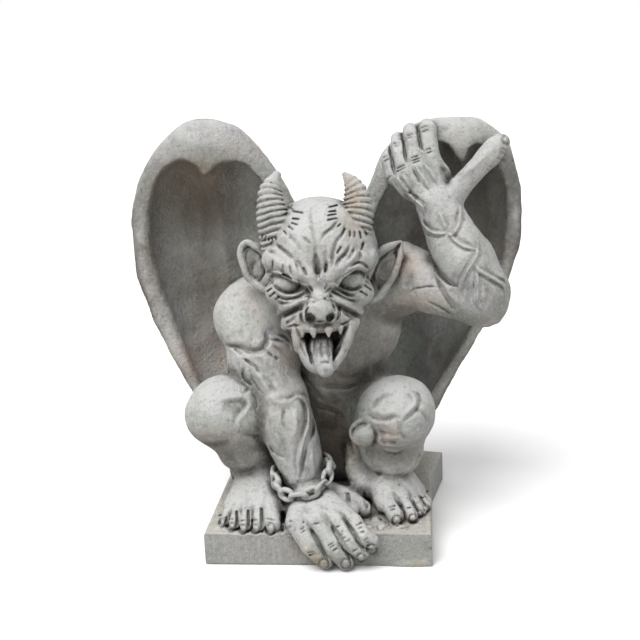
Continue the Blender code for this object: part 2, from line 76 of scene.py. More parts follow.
def blend(a, b, soft):
    """The lower of two fields, eased by a parabola where they differ by less than soft."""
    near = np.maximum(soft - np.abs(a - b), 0.0) / soft
    return np.minimum(a, b) - near * near * (soft / 4)


class Block:
    """A stone under the chisel: its grid planes and its field of distances."""

    def __init__(self, *planes):
        self.planes = planes
        self.field = np.full([len(plane) for plane in planes], FAR, np.float32)

    def window(self, low, high, reach=FAR):
        """The part of the grid between two corners, with its planes."""
        part = tuple(slice(*np.searchsorted(plane, (start - reach, end + reach)))
                     for plane, start, end in zip(self.planes, low, high))
        planes = [plane[span] for plane, span in zip(self.planes, part)]
        return part, np.meshgrid(*planes, indexing="ij", sparse=True)

    def add(self, form, soft):
        """Leave a form standing, with a fillet of about the size soft."""
        distance, low, high = form
        part, places = self.window(low, high)
        self.field[part] = blend(self.field[part], distance(*places), soft)

    def cut(self, form, soft):
        """Cut a form away, with an edge rounded by about the size soft."""
        distance, low, high = form
        part, places = self.window(low, high)
        self.field[part] = -blend(-self.field[part], distance(*places), soft)


stone = Block(grid_planes((-0.545, WING_STEP), (-0.290, HEAD_STEP), (0.300, ARM_STEP), (0.560, None)),
              grid_planes((-0.362, HEAD_STEP), (0.040, WING_STEP), (0.345, None)),
              grid_planes((-0.100, HEAD_STEP), (0.130, ARM_STEP), (0.395, HEAD_STEP),
                          (0.905, ARM_STEP), (1.030, None)))


# The wings
# Each wing is a deep scoop that stands up from the plinth like half a shell. Its thick hood
# hangs over the hollow in two arches with a point between them, and a faint ridge runs down
# the hollow. The backs have shallow folds and the marks of a flat chisel.

WINGS = (
    dict(side=-1, foot_forward=0.085, ridge=((-0.306, 0.86), (-0.270, 0.20)),
         outline=[(-0.300, 1.012), (-0.374, 0.996), (-0.454, 0.922), (-0.507, 0.818), (-0.523, 0.690),
                  (-0.511, 0.560), (-0.466, 0.425), (-0.384, 0.262), (-0.310, 0.110), (-0.262, -0.020),
                  (-0.160, -0.060), (-0.010, 0.040), (0.010, 0.350), (-0.010, 0.620), (-0.078, 0.780),
                  (-0.142, 0.895), (-0.210, 0.980)],
         hollow=[(-0.306, 0.862), (-0.338, 0.900), (-0.375, 0.908), (-0.415, 0.888), (-0.447, 0.835),
                 (-0.468, 0.750), (-0.466, 0.640), (-0.436, 0.500), (-0.380, 0.340), (-0.325, 0.200),
                 (-0.240, 0.100), (-0.150, 0.200), (-0.110, 0.450), (-0.115, 0.700), (-0.150, 0.815),
                 (-0.185, 0.875), (-0.225, 0.899), (-0.265, 0.893)]),
    dict(side=1, foot_forward=-0.095, ridge=((0.383, 0.88), (0.270, 0.20)),
         outline=[(0.372, 0.998), (0.440, 0.986), (0.502, 0.926), (0.532, 0.835), (0.540, 0.715),
                  (0.516, 0.585), (0.450, 0.440), (0.342, 0.232), (0.272, 0.085), (0.218, -0.020),
                  (0.120, -0.060), (0.010, 0.040), (-0.010, 0.350), (0.015, 0.640), (0.120, 0.795),
                  (0.166, 0.900), (0.238, 0.968), (0.305, 0.996)],
         hollow=[(0.383, 0.885), (0.405, 0.920), (0.436, 0.922), (0.466, 0.890), (0.488, 0.830),
                 (0.497, 0.730), (0.486, 0.630), (0.450, 0.520), (0.380, 0.380), (0.290, 0.220),
                 (0.210, 0.100), (0.150, 0.200), (0.120, 0.450), (0.130, 0.680), (0.180, 0.800),
                 (0.235, 0.880), (0.290, 0.925), (0.345, 0.928)]))
WING_RIM = 0.175
WING_LEAN = 0.150
WING_FRONT_SPAN = 0.160
WING_BACK_SPAN = 0.240
WING_HOLLOW_SPAN = 0.150
WING_BULGE = 0.140
WING_WALL = 0.026
WING_RIDGE = 0.012
RIDGE_WIDTH = 0.018
LEAN_START = 0.09
FOOT_TOP = 0.5
HOOD_START = 0.72
HOOD_RUN = 0.20
RIM_ROUND = 0.022
HOOD_ROUND = 0.040
FOOT_BULGE = 0.36
BULGE_TOP = 0.35
SCOOP_EDGE = 0.012


def smooth_path(knots, steps, closed=False):
    """A Catmull-Rom curve through the knots, with the given steps between each two."""
    knots = np.asarray(knots, float)
    if closed:
        padded = np.vstack([knots[-1:], knots, knots[:2]])
    else:
        padded = np.vstack([2 * knots[0] - knots[1], knots, 2 * knots[-1] - knots[-2]])
    share = np.linspace(0.0, 1.0, steps, endpoint=False)[None, :, None]
    a, b, c, d = (padded[start:len(padded) - 3 + start, None, :] for start in range(4))
    spans = 0.5 * (2 * b + (c - a) * share + (2 * a - 5 * b + 4 * c - d) * share ** 2
                   + (3 * b - a - 3 * c + d) * share ** 3)
    path = spans.reshape(-1, knots.shape[1])
    return path if closed else np.vstack([path, knots[-1:]])


def loop_distance(x, z, loop):
    """Distance to a closed loop in a plane, negative inside, counted by crossings."""
    least = np.full(np.broadcast(x, z).shape, 9.0, np.float32)
    inside = np.zeros(least.shape, bool)
    for (ax, az), (bx, bz) in zip(loop, np.roll(loop, -1, axis=0)):
        share = np.clip(((x - ax) * (bx - ax) + (z - az) * (bz - az))
                        / ((bx - ax) ** 2 + (bz - az) ** 2), 0.0, 1.0)
        gap = (x - ax - share * (bx - ax)) ** 2 + (z - az - share * (bz - az)) ** 2
        least = np.minimum(least, gap)
        if az != bz:
            inside ^= ((z >= az) != (z >= bz)) & (x < ax + (z - az) / (bz - az) * (bx - ax))
    return np.where(inside, -1.0, 1.0).astype(np.float32) * np.sqrt(least)


def dish(depth_in, span, rise, away):
    """Distance to a surface that leaves its rim like an ellipse of the given span and rise."""
    across = np.clip(1.0 - depth_in / span, 0.0, None)
    once = np.sqrt(across ** 2 + (away / rise) ** 2)
    twice = np.sqrt((across / span) ** 2 + (away / rise ** 2) ** 2)
    return once * (once - 1.0) / np.maximum(twice, 1e-6)


def wing_form(wing):
    """A convex shell inside the outline, less a hollow that the hood overhangs."""
    outline = smooth_path(wing["outline"], 8, closed=True)
    hollow = smooth_path(wing["hollow"], 8, closed=True)
    (top_x, top_z), (foot_x, foot_z) = wing["ridge"]

    def distance(x, y, z):
        rim = WING_RIM - WING_LEAN * np.clip(wing["side"] * x - LEAN_START, 0.0, None)
        rim = rim - wing["foot_forward"] * np.clip(1.0 - z / FOOT_TOP, 0.0, 1.0)
        inward = -loop_distance(x, z, outline)
        hood = np.clip((z - HOOD_START) / HOOD_RUN, 0.0, 1.0)
        front_rise = RIM_ROUND + HOOD_ROUND * hood * hood * (3 - 2 * hood)
        bulge = WING_BULGE * (FOOT_BULGE + (1 - FOOT_BULGE) * np.clip(z / BULGE_TOP, 0.0, 1.0))
        away = y - rim
        shell = np.where(away > 0, dish(inward, WING_BACK_SPAN, bulge, away),
                         dish(inward, WING_FRONT_SPAN, front_rise, away))
        ridge_x = foot_x + (top_x - foot_x) * (z - foot_z) / (top_z - foot_z)
        floor = bulge - WING_WALL - WING_RIDGE * np.exp(-((x - ridge_x) / RIDGE_WIDTH) ** 2)
        inset = -loop_distance(x, z, hollow)
        scoop = np.where(away > 0, dish(inset, WING_HOLLOW_SPAN, floor, away), -inset)
        return -blend(-shell, scoop, SCOOP_EDGE)

    low = (outline[:, 0].min(), 0.02, outline[:, 1].min())
    high = (outline[:, 0].max(), 0.35, outline[:, 1].max())
    return distance, low, high


for wing in WINGS:
    stone.add(wing_form(wing), 0.02)

# The shallow work on every part is drawn on sheets pinned up before the figure, 640 units
# square, and taken back along the line of sight to the stone behind. It is cut last of all.

EYE = (0.29779, -2.82755, 1.31144)
EYE_TURN = 6.0
EYE_DIP = 14.6
EYE_TILT = -2.35
SHEET_SIZE = 640
SHEET_FOCUS = 1100.0
BACK_MIDDLE = 320.0
BACK_FOOT = 560.0
BACK_SCALE = 440.0
TAPER = 0.28
END_WIDTH = 0.45
LIP_PLACE = 1.9
NAIL_CUT = 0.0055
NAIL_DOME = 0.0020
SHEETS = []


def eye_axes():
    """The unit directions to the right, up and ahead of someone who looks at the figure."""
    turn, dip, tilt = np.radians((EYE_TURN, EYE_DIP, EYE_TILT))
    ahead = np.array([-np.sin(turn) * np.cos(dip), np.cos(turn) * np.cos(dip), -np.sin(dip)])
    level = np.cross(ahead, (0.0, 0.0, 1.0))
    level = level / np.linalg.norm(level)
    upright = np.cross(level, ahead)
    right = np.cos(tilt) * level + np.sin(tilt) * upright
    up = -np.sin(tilt) * level + np.cos(tilt) * upright
    return right, up, ahead


EYE_PLACE = (np.array(EYE) - (0.0, 0.0, PLINTH_HEIGHT)) / FIGURE_HEIGHT


def on_sheet(x, y, z):
    """Where points fall on the sheet: the focus times their slopes from the eye."""
    offset = (x - EYE_PLACE[0], y - EYE_PLACE[1], z - EYE_PLACE[2])
    right, up, ahead = (sum(o * a for o, a in zip(offset, axis)) for axis in eye_axes())
    return SHEET_SIZE / 2 + SHEET_FOCUS * right / ahead, SHEET_SIZE / 2 - SHEET_FOCUS * up / ahead


def sight(u, v, y):
    """The point on the line of sight through a place of the sheet, at the given y."""
    right, up, ahead = eye_axes()
    ray = SHEET_FOCUS * ahead + (u - SHEET_SIZE / 2) * right - (v - SHEET_SIZE / 2) * up
    return EYE_PLACE + ray * (y - EYE_PLACE[1]) / ray[1]


def on_back(x, z):
    """Where points fall on a sheet hung flat behind the figure: across against x, down against z."""
    return BACK_MIDDLE - BACK_SCALE * x, BACK_FOOT - BACK_SCALE * z


class Sheet:
    """Cuts drawn over one part of the sheet, as depths on a fine square mesh."""

    def __init__(self, corners, low, high, step=0.4, back=False):
        self.across = np.arange(corners[0], corners[2], step, dtype=np.float32)
        self.down = np.arange(corners[1], corners[3], step, dtype=np.float32)
        self.low, self.high, self.step, self.back = low, high, step, back
        self.depth = np.zeros((len(self.across), len(self.down)), np.float32)
        SHEETS.append(self)

    def area(self, low, high):
        """The part of the mesh between two corners, with its places."""
        part = (slice(*np.searchsorted(self.across, (low[0], high[0]))),
                slice(*np.searchsorted(self.down, (low[1], high[1]))))
        return part, self.across[part[0]][:, None], self.down[part[1]][None, :]

    def stroke(self, depth, width, *points, lip=0.15, ends=0.12):
        """A cut with a bell-shaped section and low lips, shallower at its ends."""
        path = smooth_path(points, 5)
        part, u, v = self.area(path.min(axis=0) - 4 * width, path.max(axis=0) + 4 * width)
        least = np.full(np.broadcast(u, v).shape, 1e6)
        along = np.zeros(least.shape)
        lengths = np.linalg.norm(np.diff(path, axis=0), axis=1)
        starts = np.append(0.0, lengths.cumsum()) / lengths.sum()
        for (au, av), (bu, bv), first, last in zip(path[:-1], path[1:], starts[:-1], starts[1:]):
            run = max((bu - au) ** 2 + (bv - av) ** 2, 1e-9)
            share = np.clip(((u - au) * (bu - au) + (v - av) * (bv - av)) / run, 0.0, 1.0)
            gap = np.hypot(u - au - share * (bu - au), v - av - share * (bv - av))
            closer = gap < least
            least = np.where(closer, gap, least)
            along = np.where(closer, first + (last - first) * share, along)
        full = np.clip(np.minimum(along, 1 - along) / TAPER + ends, 0.0, 1.0)
        strength = depth * full
        near = least / (width * (END_WIDTH + (1 - END_WIDTH) * full))
        self.depth[part] += strength * (np.exp(-near ** 2) - lip * np.exp(-(near - LIP_PLACE) ** 2))

    def strokes(self, depth, width, *lines, lip=0.15, ends=0.12):
        """The same cut along several lines."""
        for line in lines:
            self.stroke(depth, width, *line, lip=lip, ends=ends)

    def ticks(self, depth, width, *pairs):
        """Short straight cuts, each from one point to another."""
        width = 0.8 * width
        for start_u, start_v, end_u, end_v in pairs:
            self.stroke(depth, width, (start_u, start_v), (end_u, end_v), lip=0.05, ends=0.55)

    def oval(self, times, u_at, v_at, radius_u, radius_v):
        """The mesh round a place, out to a few radii, with its offsets counted in radii."""
        reach = times * np.array([radius_u, radius_v])
        part, u, v = self.area((u_at, v_at) - reach, (u_at, v_at) + reach)
        return part, (u - u_at) / radius_u, (v - v_at) / radius_v

    def pit(self, depth, u_at, v_at, radius_u, radius_v=None):
        """A bell-shaped hollow, round or oval, or a swelling if its depth is negative."""
        part, u, v = self.oval(2.5, u_at, v_at, radius_u, radius_v or radius_u)
        self.depth[part] += depth * np.exp(-u ** 2 - v ** 2)

    def dome(self, rise, u_at, v_at, radius_u, radius_v):
        """Half an ellipsoid with a crisp foot: the rise times the root of 1 less r squared."""
        part, u, v = self.oval(1.1, u_at, v_at, radius_u, radius_v)
        self.depth[part] -= rise * np.sqrt(np.clip(1.0 - (u ** 2 + v ** 2), 0.0, None))

    def patch(self, depth, *loop, soft=0.8):
        """The inside of a loop let down by a depth, with an edge about soft units wide."""
        path = smooth_path(loop, 5, closed=True)
        part, u, v = self.area(path.min(axis=0) - 2 * soft, path.max(axis=0) + 2 * soft)
        share = np.clip(0.5 - loop_distance(u, v, path) / (2 * soft), 0.0, 1.0)
        self.depth[part] += depth * share * share * (3 - 2 * share)

    def nail(self, u_at, v_at, radius_u, radius_v=None):
        """A nail: a deep rim cut round an oval, and the oval itself a little domed."""
        part, u, v = self.oval(2.0, u_at, v_at, radius_u, radius_v or radius_u)
        out = np.hypot(u, v)
        self.depth[part] += (NAIL_CUT * np.exp(-((out - 1.0) * radius_u / 1.1) ** 2)
                             - NAIL_DOME * np.clip(1.0 - out ** 2, 0.0, None))


STREAKS = 22
WING_PITS = 90
CHISEL_MARKS = 70

stone_draws = np.random.default_rng(11)
wing_sheet = Sheet((125, 105, 530, 440), (-0.55, 0.02, 0.10), (0.56, 0.33, 1.03), 1.0)
for left, right, top, foot in ((168, 252, 190, 372), (392, 512, 150, 380)):
    for number in range(STREAKS):
        start = stone_draws.uniform((left, top), (right, 0.5 * (top + foot)))
        fall = stone_draws.uniform(30, 80)
        sway = stone_draws.uniform(-5, 5, 2) + (0.10 * fall if left < 300 else -0.16 * fall)
        wing_sheet.stroke(stone_draws.uniform(0.0008, 0.0020), stone_draws.uniform(1.8, 3.4), start,
                          start + (0.5 * sway[0], 0.5 * fall), start + (sway[1], fall))
for number in range(WING_PITS):
    spot = stone_draws.uniform((140, 110), (520, 420))
    wing_sheet.pit(stone_draws.uniform(0.0015, 0.0040), *spot, stone_draws.uniform(0.8, 1.6))

# The wings' backs: long shallow folds that fan from the root, and the marks of a flat chisel
back_sheet = Sheet((70, 100, 570, 560), (-0.56, 0.06, 0.01), (0.57, 0.34, 1.03), 1.0, back=True)
for side in (-1, 1):
    for x_top, z_top, x_mid, x_low, z_low in ((0.235, 0.90, 0.205, 0.070, 0.25),
                                              (0.305, 0.95, 0.300, 0.115, 0.17),
                                              (0.385, 0.92, 0.390, 0.165, 0.13), (0.455, 0.82, 0.465, 0.225,
                                                                                  0.14)):
        back_sheet.stroke(0.0060, 5.5, on_back(side * x_top, z_top), on_back(side * (x_mid + 0.015), 0.72),
                          on_back(side * (0.55 * x_mid + 0.45 * x_low), 0.44), on_back(side * x_low, z_low),
                          lip=0.35)
    for number in range(CHISEL_MARKS):
        x, z = stone_draws.uniform((0.05, 0.12), (0.50, 0.95))
        fall = stone_draws.uniform(0.03, 0.09)
        back_sheet.stroke(stone_draws.uniform(0.0008, 0.0020), stone_draws.uniform(1.8, 3.2),
                          on_back(side * x, z),
                          on_back(side * (x - 0.35 * fall), z - fall))


# The body
# The figure crouches between the wings with a hunched back, cut from the same stone. The trunk
# is a few rounded masses run together, and the belly is drawn in between the knees in folds.


def ball(centre, radii, turn=None):
    """An ellipsoid, |p/r| (|p/r| - 1) / |p/r^2|, with its axes along the rows of turn."""
    centre = np.asarray(centre, float)
    radii = np.ones(3) * radii
    rows = np.eye(3) if turn is None else turn
    reach = np.sqrt(((rows * radii[:, None]) ** 2).sum(axis=0))

    def distance(x, y, z):
        offset = (x - centre[0], y - centre[1], z - centre[2])
        once, twice = 0.0, 0.0
        for row, radius in zip(rows, radii):
            along = (row[0] * offset[0] + row[1] * offset[1] + row[2] * offset[2]) / radius
            once = once + along ** 2
            twice = twice + (along / radius) ** 2
        once = np.sqrt(once)
        return once * (once - 1.0) / np.maximum(np.sqrt(twice), 1e-6)

    return distance, centre - reach, centre + reach


def nearest(offset, run):
    """The share of a straight run at which it passes nearest, by the dot product, and the gap."""
    share = sum(o * r for o, r in zip(offset, run)) / max(float(run @ run), 1e-9)
    share = np.clip(share, 0.0, 1.0)
    return share, np.sqrt(sum((o - share * r) ** 2 for o, r in zip(offset, run)))


def limb(points, radii):
    """A chain of round cones: the least distance to each stretch, less its own radius there."""
    points = np.asarray(points, float)
    radii = np.ones(len(points)) * radii

    def distance(x, y, z):
        least = None
        for start, end, first, last in zip(points[:-1], points[1:], radii[:-1], radii[1:]):
            share, gap = nearest((x - start[0], y - start[1], z - start[2]), end - start)
            gap = gap - (first + (last - first) * share)
            least = gap if least is None else np.minimum(least, gap)
        return least

    reach = radii.max()
    return distance, points.min(axis=0) - reach, points.max(axis=0) + reach


def bent_limb(knots, radii, steps=6):
    """A limb along a smooth curve through the knots, its radius eased from knot to knot."""
    radii = np.ones(len(knots)) * radii
    path = smooth_path(np.column_stack([knots, radii]), steps)
    return limb(path[:, :3], path[:, 3])


stone.add(ball((0.02, 0.130, 0.130), (0.190, 0.140, 0.160)), 0.03)
stone.add(ball((0.03, 0.090, 0.300), (0.125, 0.120, 0.150)), 0.05)
stone.add(ball((0.02, 0.085, 0.450), (0.195, 0.125, 0.150)), 0.05)
stone.add(ball((0.02, 0.150, 0.520), (0.200, 0.110, 0.140)), 0.05)
stone.add(limb([(0.02, 0.09, 0.55), (0.018, -0.01, 0.62)], [0.125, 0.110]), 0.04)
stone.add(limb([(0.06, 0.06, 0.590), (0.210, 0.06, 0.570)], [0.085, 0.080]), 0.04)
stone.add(limb([(-0.03, 0.05, 0.560), (-0.170, 0.03, 0.520)], [0.085, 0.080]), 0.04)

belly = Sheet((285, 335, 372, 492), (-0.08, -0.075, 0.02), (0.14, 0.06, 0.46))
belly.strokes(0.0081, 2.6, [(318, 386.4), (330, 387), (345, 387.3), (357, 384)],
              [(314, 403), (322, 408), (330, 409.6), (337, 412.2), (344, 417)])
belly.strokes(0.0061, 3.5, [(330, 372), (345, 376), (362, 374)], [(316, 424), (328, 428), (340, 427)])
belly.stroke(-0.0081, 4.5, (300, 369), (312, 381), (322, 392), (332, 404))
belly.strokes(0.0047, 1.4, [(305, 381), (314, 391), (323, 402)], [(344, 441), (346, 456), (352, 470)],
              [(349, 438), (353, 452), (358, 466)])
belly.pit(-0.0068, 330.6, 416, 5.0)
belly.pit(0.0068, 335, 402, 7.0, 4.0)
belly.pit(0.0081, 345.9, 464.8, 1.6)


# The legs
# Both legs are folded in a crouch with round, heavy knees. The feet stand flat with the
# heels under the body, and every toe is a bone, a knuckle and a pad that rests on the stone.


def add_leg(hip, knee, knee_radii, calf, ankle, shin_radii):
    """A folded leg: thigh, round knee, and the shin that runs back down to the ankle."""
    stone.add(limb([hip, knee], [0.115, 0.080]), 0.04)
    stone.add(ball(knee, knee_radii), 0.02)
    stone.add(limb([knee, calf, ankle], shin_radii), 0.03)


def add_foot(ankle, heel, toes):
    """A foot: the heel, a bone from the ankle to each toe, and toes lying on the stone."""
    stone.add(limb([ankle, heel], [0.056, 0.038]), 0.03)
    for tip, knuckle, radius in toes:
        stone.add(limb([ankle, knuckle], [0.054, radius + 0.008]), 0.012)
        middle = 0.5 * (np.array(tip) + knuckle) + (0.0, 0.0, 0.004)
        stone.add(bent_limb([knuckle, middle, tip], [radius + 0.004, radius - 0.001, radius], 4), 0.004)


add_leg((-0.110, 0.120, 0.190), (-0.245, -0.110, 0.264), (0.110, 0.105, 0.098),
        (-0.210, -0.080, 0.165), (-0.180, -0.045, 0.080), (0.080, 0.076, 0.056))
add_leg((0.120, 0.120, 0.190), (0.203, -0.120, 0.262), (0.101, 0.105, 0.096),
        (0.186, -0.075, 0.155), (0.172, -0.030, 0.090), (0.080, 0.086, 0.060))
stone.add(ball((0.120, -0.175, 0.228), (0.038, 0.036, 0.038)), 0.008)
add_foot((-0.178, -0.070, 0.066), (-0.180, 0.040, 0.030), [
    ((-0.113, -0.272, 0.018), (-0.126, -0.205, 0.032), 0.0200),
    ((-0.150, -0.270, 0.015), (-0.156, -0.206, 0.034), 0.0165),
    ((-0.184, -0.267, 0.014), (-0.185, -0.200, 0.033), 0.0160),
    ((-0.215, -0.256, 0.013), (-0.212, -0.190, 0.030), 0.0150),
    ((-0.243, -0.235, 0.012), (-0.237, -0.172, 0.026), 0.0140)])
add_foot((0.168, -0.060, 0.082), (0.125, 0.050, 0.030), [
    ((0.196, -0.222, 0.020), (0.168, -0.170, 0.034), 0.0220),
    ((0.238, -0.210, 0.015), (0.210, -0.155, 0.034), 0.0165),
    ((0.260, -0.177, 0.014), (0.230, -0.128, 0.032), 0.0155),
    ((0.272, -0.145, 0.013), (0.244, -0.100, 0.029), 0.0145),
    ((0.276, -0.112, 0.012), (0.252, -0.072, 0.026), 0.0135)])

knee = Sheet((182, 376, 262, 482), (-0.38, -0.24, 0.10), (-0.145, 0.00, 0.40))
knee.stroke(-0.0058, 3.1, (221, 399.5), (234.8, 397.6), (245, 397.2), (249.2, 403.7), (246, 411.4),
            (239.7, 418.6), (239.2, 429))
knee.stroke(0.0073, 3.4, (220, 404), (230, 402.6), (242, 402), (244.6, 406), (241, 412), (235.6, 418.6),
            (234, 427), lip=0.1)
knee.pit(0.0108, 233, 409, 11.0, 7.0)
knee.pit(-0.0068, 214, 418, 16.0, 12.0)
knee.pit(0.0068, 205, 443, 16.0, 5.0)
knee.stroke(0.0058, 3.9, (198, 440), (212, 442), (226, 440), (236, 434), lip=0.1)
knee.stroke(0.0049, 2.3, (238, 431.8), (248.9, 434.3), (260, 435.6))
knee.stroke(-0.0039, 4.4, (240, 440), (250, 441), (260, 443))
knee.strokes(0.0049, 1.8, [(242.8, 395), (248.9, 388.4)], [(252, 393), (255, 402), (256, 412)])
knee.stroke(0.0030, 3.9, (226, 452), (236, 460), (240, 470))

knee = Sheet((334, 374, 442, 480), (0.075, -0.25, 0.12), (0.34, 0.00, 0.41))
knee.stroke(0.0078, 2.5, (365, 413), (372.7, 416.5), (379.4, 419.2), (386, 419.2), (394.7, 417.4),
            (402, 419))
knee.stroke(-0.0044, 3.9, (368, 408), (376, 412), (386, 413), (396, 410.6))
knee.stroke(0.0049, 2.3, (373.6, 410.3), (377, 402), (384.5, 396.6), (393, 394.5))
knee.stroke(-0.0058, 2.6, (405, 391), (413.8, 395.6), (415.8, 402.6), (412.9, 407.8), (405.2, 415.4),
            (400.4, 421))
knee.stroke(0.0068, 2.1, (408, 390), (417.5, 395.2), (419.3, 403.6), (415.6, 410), (408, 417.4), (403, 423),
            lip=0.1)
knee.stroke(0.0039, 2.1, (411.9, 409.4), (420.5, 412.2), (427.2, 421))
knee.stroke(0.0053, 2.3, (401.4, 420.8), (400.6, 432.3), (406.2, 440))
knee.stroke(0.0107, 2.5, (352.6, 437), (354.5, 430.6), (360.2, 425.8), (370.3, 423.2), lip=0.1)
knee.stroke(0.0078, 2.3, (370.3, 423.2), (374.6, 428.4), (375.6, 437), (371.4, 445.6), lip=0.1)
knee.stroke(-0.0039, 7.8, (364, 432), (365, 440))
knee.stroke(0.0068, 3.1, (378, 424), (384, 430), (392, 433.4), (400, 434), lip=0.1)
knee.stroke(0.0058, 2.2, (381.3, 437), (384.2, 441), (391.8, 442), (399.5, 440))
knee.stroke(0.0049, 2.2, (380, 446.5), (387, 450), (395.7, 452.4), (404, 449))
knee.pit(-0.0068, 388, 446, 7.0, 4.0)
knee.pit(0.0081, 382, 432, 5.0, 4.0)
knee.ticks(0.0050, 1.3, (435.4, 402, 437, 407), (418, 454.6, 419, 456))
knee.stroke(0.0034, 4.2, (344, 398), (349, 412), (350, 426))


# The raised arm
# The arm is thrown up beside the head with the elbow out, and the hand grips the rim of the
# wing behind it: four jointed fingers over the top and the thumb across the hollow.


def add_hand(wrist, palm, fingers, thumb):
    """A hand: a bone from the wrist to each knuckle, jointed fingers, and a thumb."""
    for centre, radii in palm:
        stone.add(ball(centre, radii), 0.02)
    for knots, radii in fingers:
        stone.add(limb([wrist, knots[0]], [0.036, radii[0] + 0.001]), 0.010)
        stone.add(limb(knots, radii), 0.003)
    stone.add(limb(*thumb), 0.010)


stone.add(ball((0.205, 0.060, 0.575), (0.088, 0.085, 0.092)), 0.03)
stone.add(limb([(0.218, 0.050, 0.594), (0.297, 0.010, 0.572), (0.415, -0.045, 0.552)],
               [0.084, 0.074, 0.068]), 0.02)
stone.add(ball((0.427, -0.050, 0.547), (0.073, 0.068, 0.073)), 0.02)
stone.add(limb([(0.420, -0.050, 0.570), (0.387, -0.040, 0.648), (0.355, -0.028, 0.702),
                (0.316, -0.008, 0.786)], [0.072, 0.076, 0.065, 0.056]), 0.02)
add_hand((0.316, 0.000, 0.800),
         [((0.280, 0.018, 0.850), (0.074, 0.032, 0.062))],
         [([(0.205, 0.035, 0.858), (0.193, 0.062, 0.898), (0.196, 0.110, 0.912)], [0.0210, 0.020, 0.018]),
          ([(0.232, 0.026, 0.886), (0.217, 0.055, 0.932), (0.217, 0.110, 0.945)], [0.0230, 0.021, 0.019]),
          ([(0.262, 0.020, 0.905), (0.252, 0.050, 0.958), (0.250, 0.110, 0.968)], [0.0240, 0.022, 0.020]),
          ([(0.298, 0.020, 0.920), (0.294, 0.048, 0.974), (0.292, 0.110, 0.980)], [0.0240, 0.022, 0.020])],
         ([(0.345, -0.002, 0.800), (0.380, 0.000, 0.836), (0.416, 0.008, 0.872),
           (0.448, 0.022, 0.905), (0.478, 0.046, 0.934)], [0.038, 0.029, 0.027, 0.0295, 0.0245]))

arm = Sheet((366, 100, 520, 222), (0.16, -0.09, 0.74), (0.54, 0.145, 1.02))
arm.strokes(0.0135, 1.7, [(390.5, 143), (391.5, 152), (392.3, 161), (395, 176)],
            [(403, 132), (404.7, 143), (405.4, 156), (407, 164)],
            [(417, 122), (419, 134), (420.5, 145), (424, 152)], lip=0.15)
arm.ticks(0.0055, 1.0, (383.4, 157.8, 388.2, 155.4), (384.3, 161.7, 389, 159), (392.6, 144.2, 399.7, 142.2),
          (393.4, 147, 400.2, 145), (406.8, 136, 413, 134), (406.8, 139, 413, 136.8),
          (420.7, 128.2, 427.4, 126.2), (421.7, 132.5, 428.4, 129.8), (387, 180.2, 391, 175.6),
          (397, 168.8, 405.4, 164.6), (397.2, 171.6, 405.8, 167.2), (411.6, 158, 418.4, 155.6),
          (412.2, 161, 419.6, 158), (413.2, 163.4, 420, 160.4), (426, 150, 431, 148.5),
          (426.5, 153.5, 432, 151.5),
          (501, 148.3, 505.9, 150.4), (499.6, 151.6, 504.4, 154), (497.4, 158, 502.6, 160.4),
          (489, 166, 494, 170), (486.6, 169, 491, 173))
arm.nail(505.6, 140.4, 3.0, 4.2)
arm.strokes(-0.0061, 1.7, [(396, 176), (401.6, 184.6), (407.3, 191.3), (414, 199)],
            [(401.6, 174), (407, 182), (411, 190.4)], [(415, 165), (419, 172), (424.6, 180), (431, 192)],
            [(423.6, 163.6), (431.2, 173), (437, 184)], lip=0.6)
arm.stroke(-0.0068, 1.8, (407.3, 194.2), (417.8, 202.8), (422, 206.6), (424.6, 214.8), lip=0.6)
arm.stroke(0.0081, 1.6, (384, 176), (389, 186), (396, 196), (404, 203), lip=0.1)
arm.strokes(0.0054, 1.4, [(398.5, 180), (404, 188), (409.7, 195)], [(412, 168), (417, 177), (421, 186)])
arm.pit(0.0108, 410.2, 192.4, 1.8)
arm.stroke(0.0081, 3.0, (440, 166), (446, 178), (449, 190), lip=0.1)
arm.stroke(-0.0054, 3.5, (462, 176), (478, 163), (492, 150))

arm = Sheet((390, 205, 520, 330), (0.19, -0.17, 0.46), (0.54, 0.02, 0.80))
arm.strokes(-0.0068, 1.7, [(421, 218), (423, 224), (428.6, 230.8), (437.7, 233.8), (447, 233)],
            [(460.2, 206.3), (460, 216), (458.7, 224.8), (453.2, 233.3), (446, 236)],
            [(446.7, 230.8), (454.2, 239.8), (463.2, 245.9), (476, 250)],
            [(478.3, 239.4), (476.8, 254.9), (472.3, 263.9), (466.2, 272.9), (461.7, 286.5), (460.2, 299)],
            [(473.8, 262.4), (478.3, 269.9), (490.3, 277.4), (502.3, 285), (507, 293.5)],
            [(476.8, 268.4), (477.8, 280), (477.5, 292), (477.3, 303), (484.3, 311.5)],
            [(440, 214), (443, 222), (447, 231)], lip=0.65)
arm.strokes(0.0088, 2.0, [(432.7, 259.4), (440.7, 274.4), (450.2, 283.5), (459.7, 287.5)],
            [(435.2, 274.9), (442.2, 291), (449, 301), (455.2, 310)], lip=0.15)
arm.stroke(-0.0054, 4.5, (443, 284), (452, 297), (462, 306))
arm.stroke(0.0068, 3.4, (484, 283), (488, 296), (482, 308), lip=0.1)
arm.stroke(0.0054, 3.2, (468, 283), (469, 295), (467, 306), lip=0.1)
arm.strokes(0.0054, 1.0, [(408.6, 293.5), (414, 289), (419.6, 288), (430.2, 286.5), (439.7, 288)],
            [(424.6, 299.5), (434, 304), (443.7, 309), (454.2, 315)], lip=0.1)
arm.pit(0.0081, 410, 280, 5.0, 10.0)
arm.pit(-0.0054, 458, 262, 12.0, 16.0)


# The lowered arm
# This arm comes straight down between the knees and leans on the plinth. The fingers hook
# over the plinth's front edge, and a chain of oval links is carved round the wrist.

PLINTH_EDGE = -PLINTH_DEPTH / 2 / FIGURE_HEIGHT
PLINTH_DROP = -PLINTH_HEIGHT / FIGURE_HEIGHT

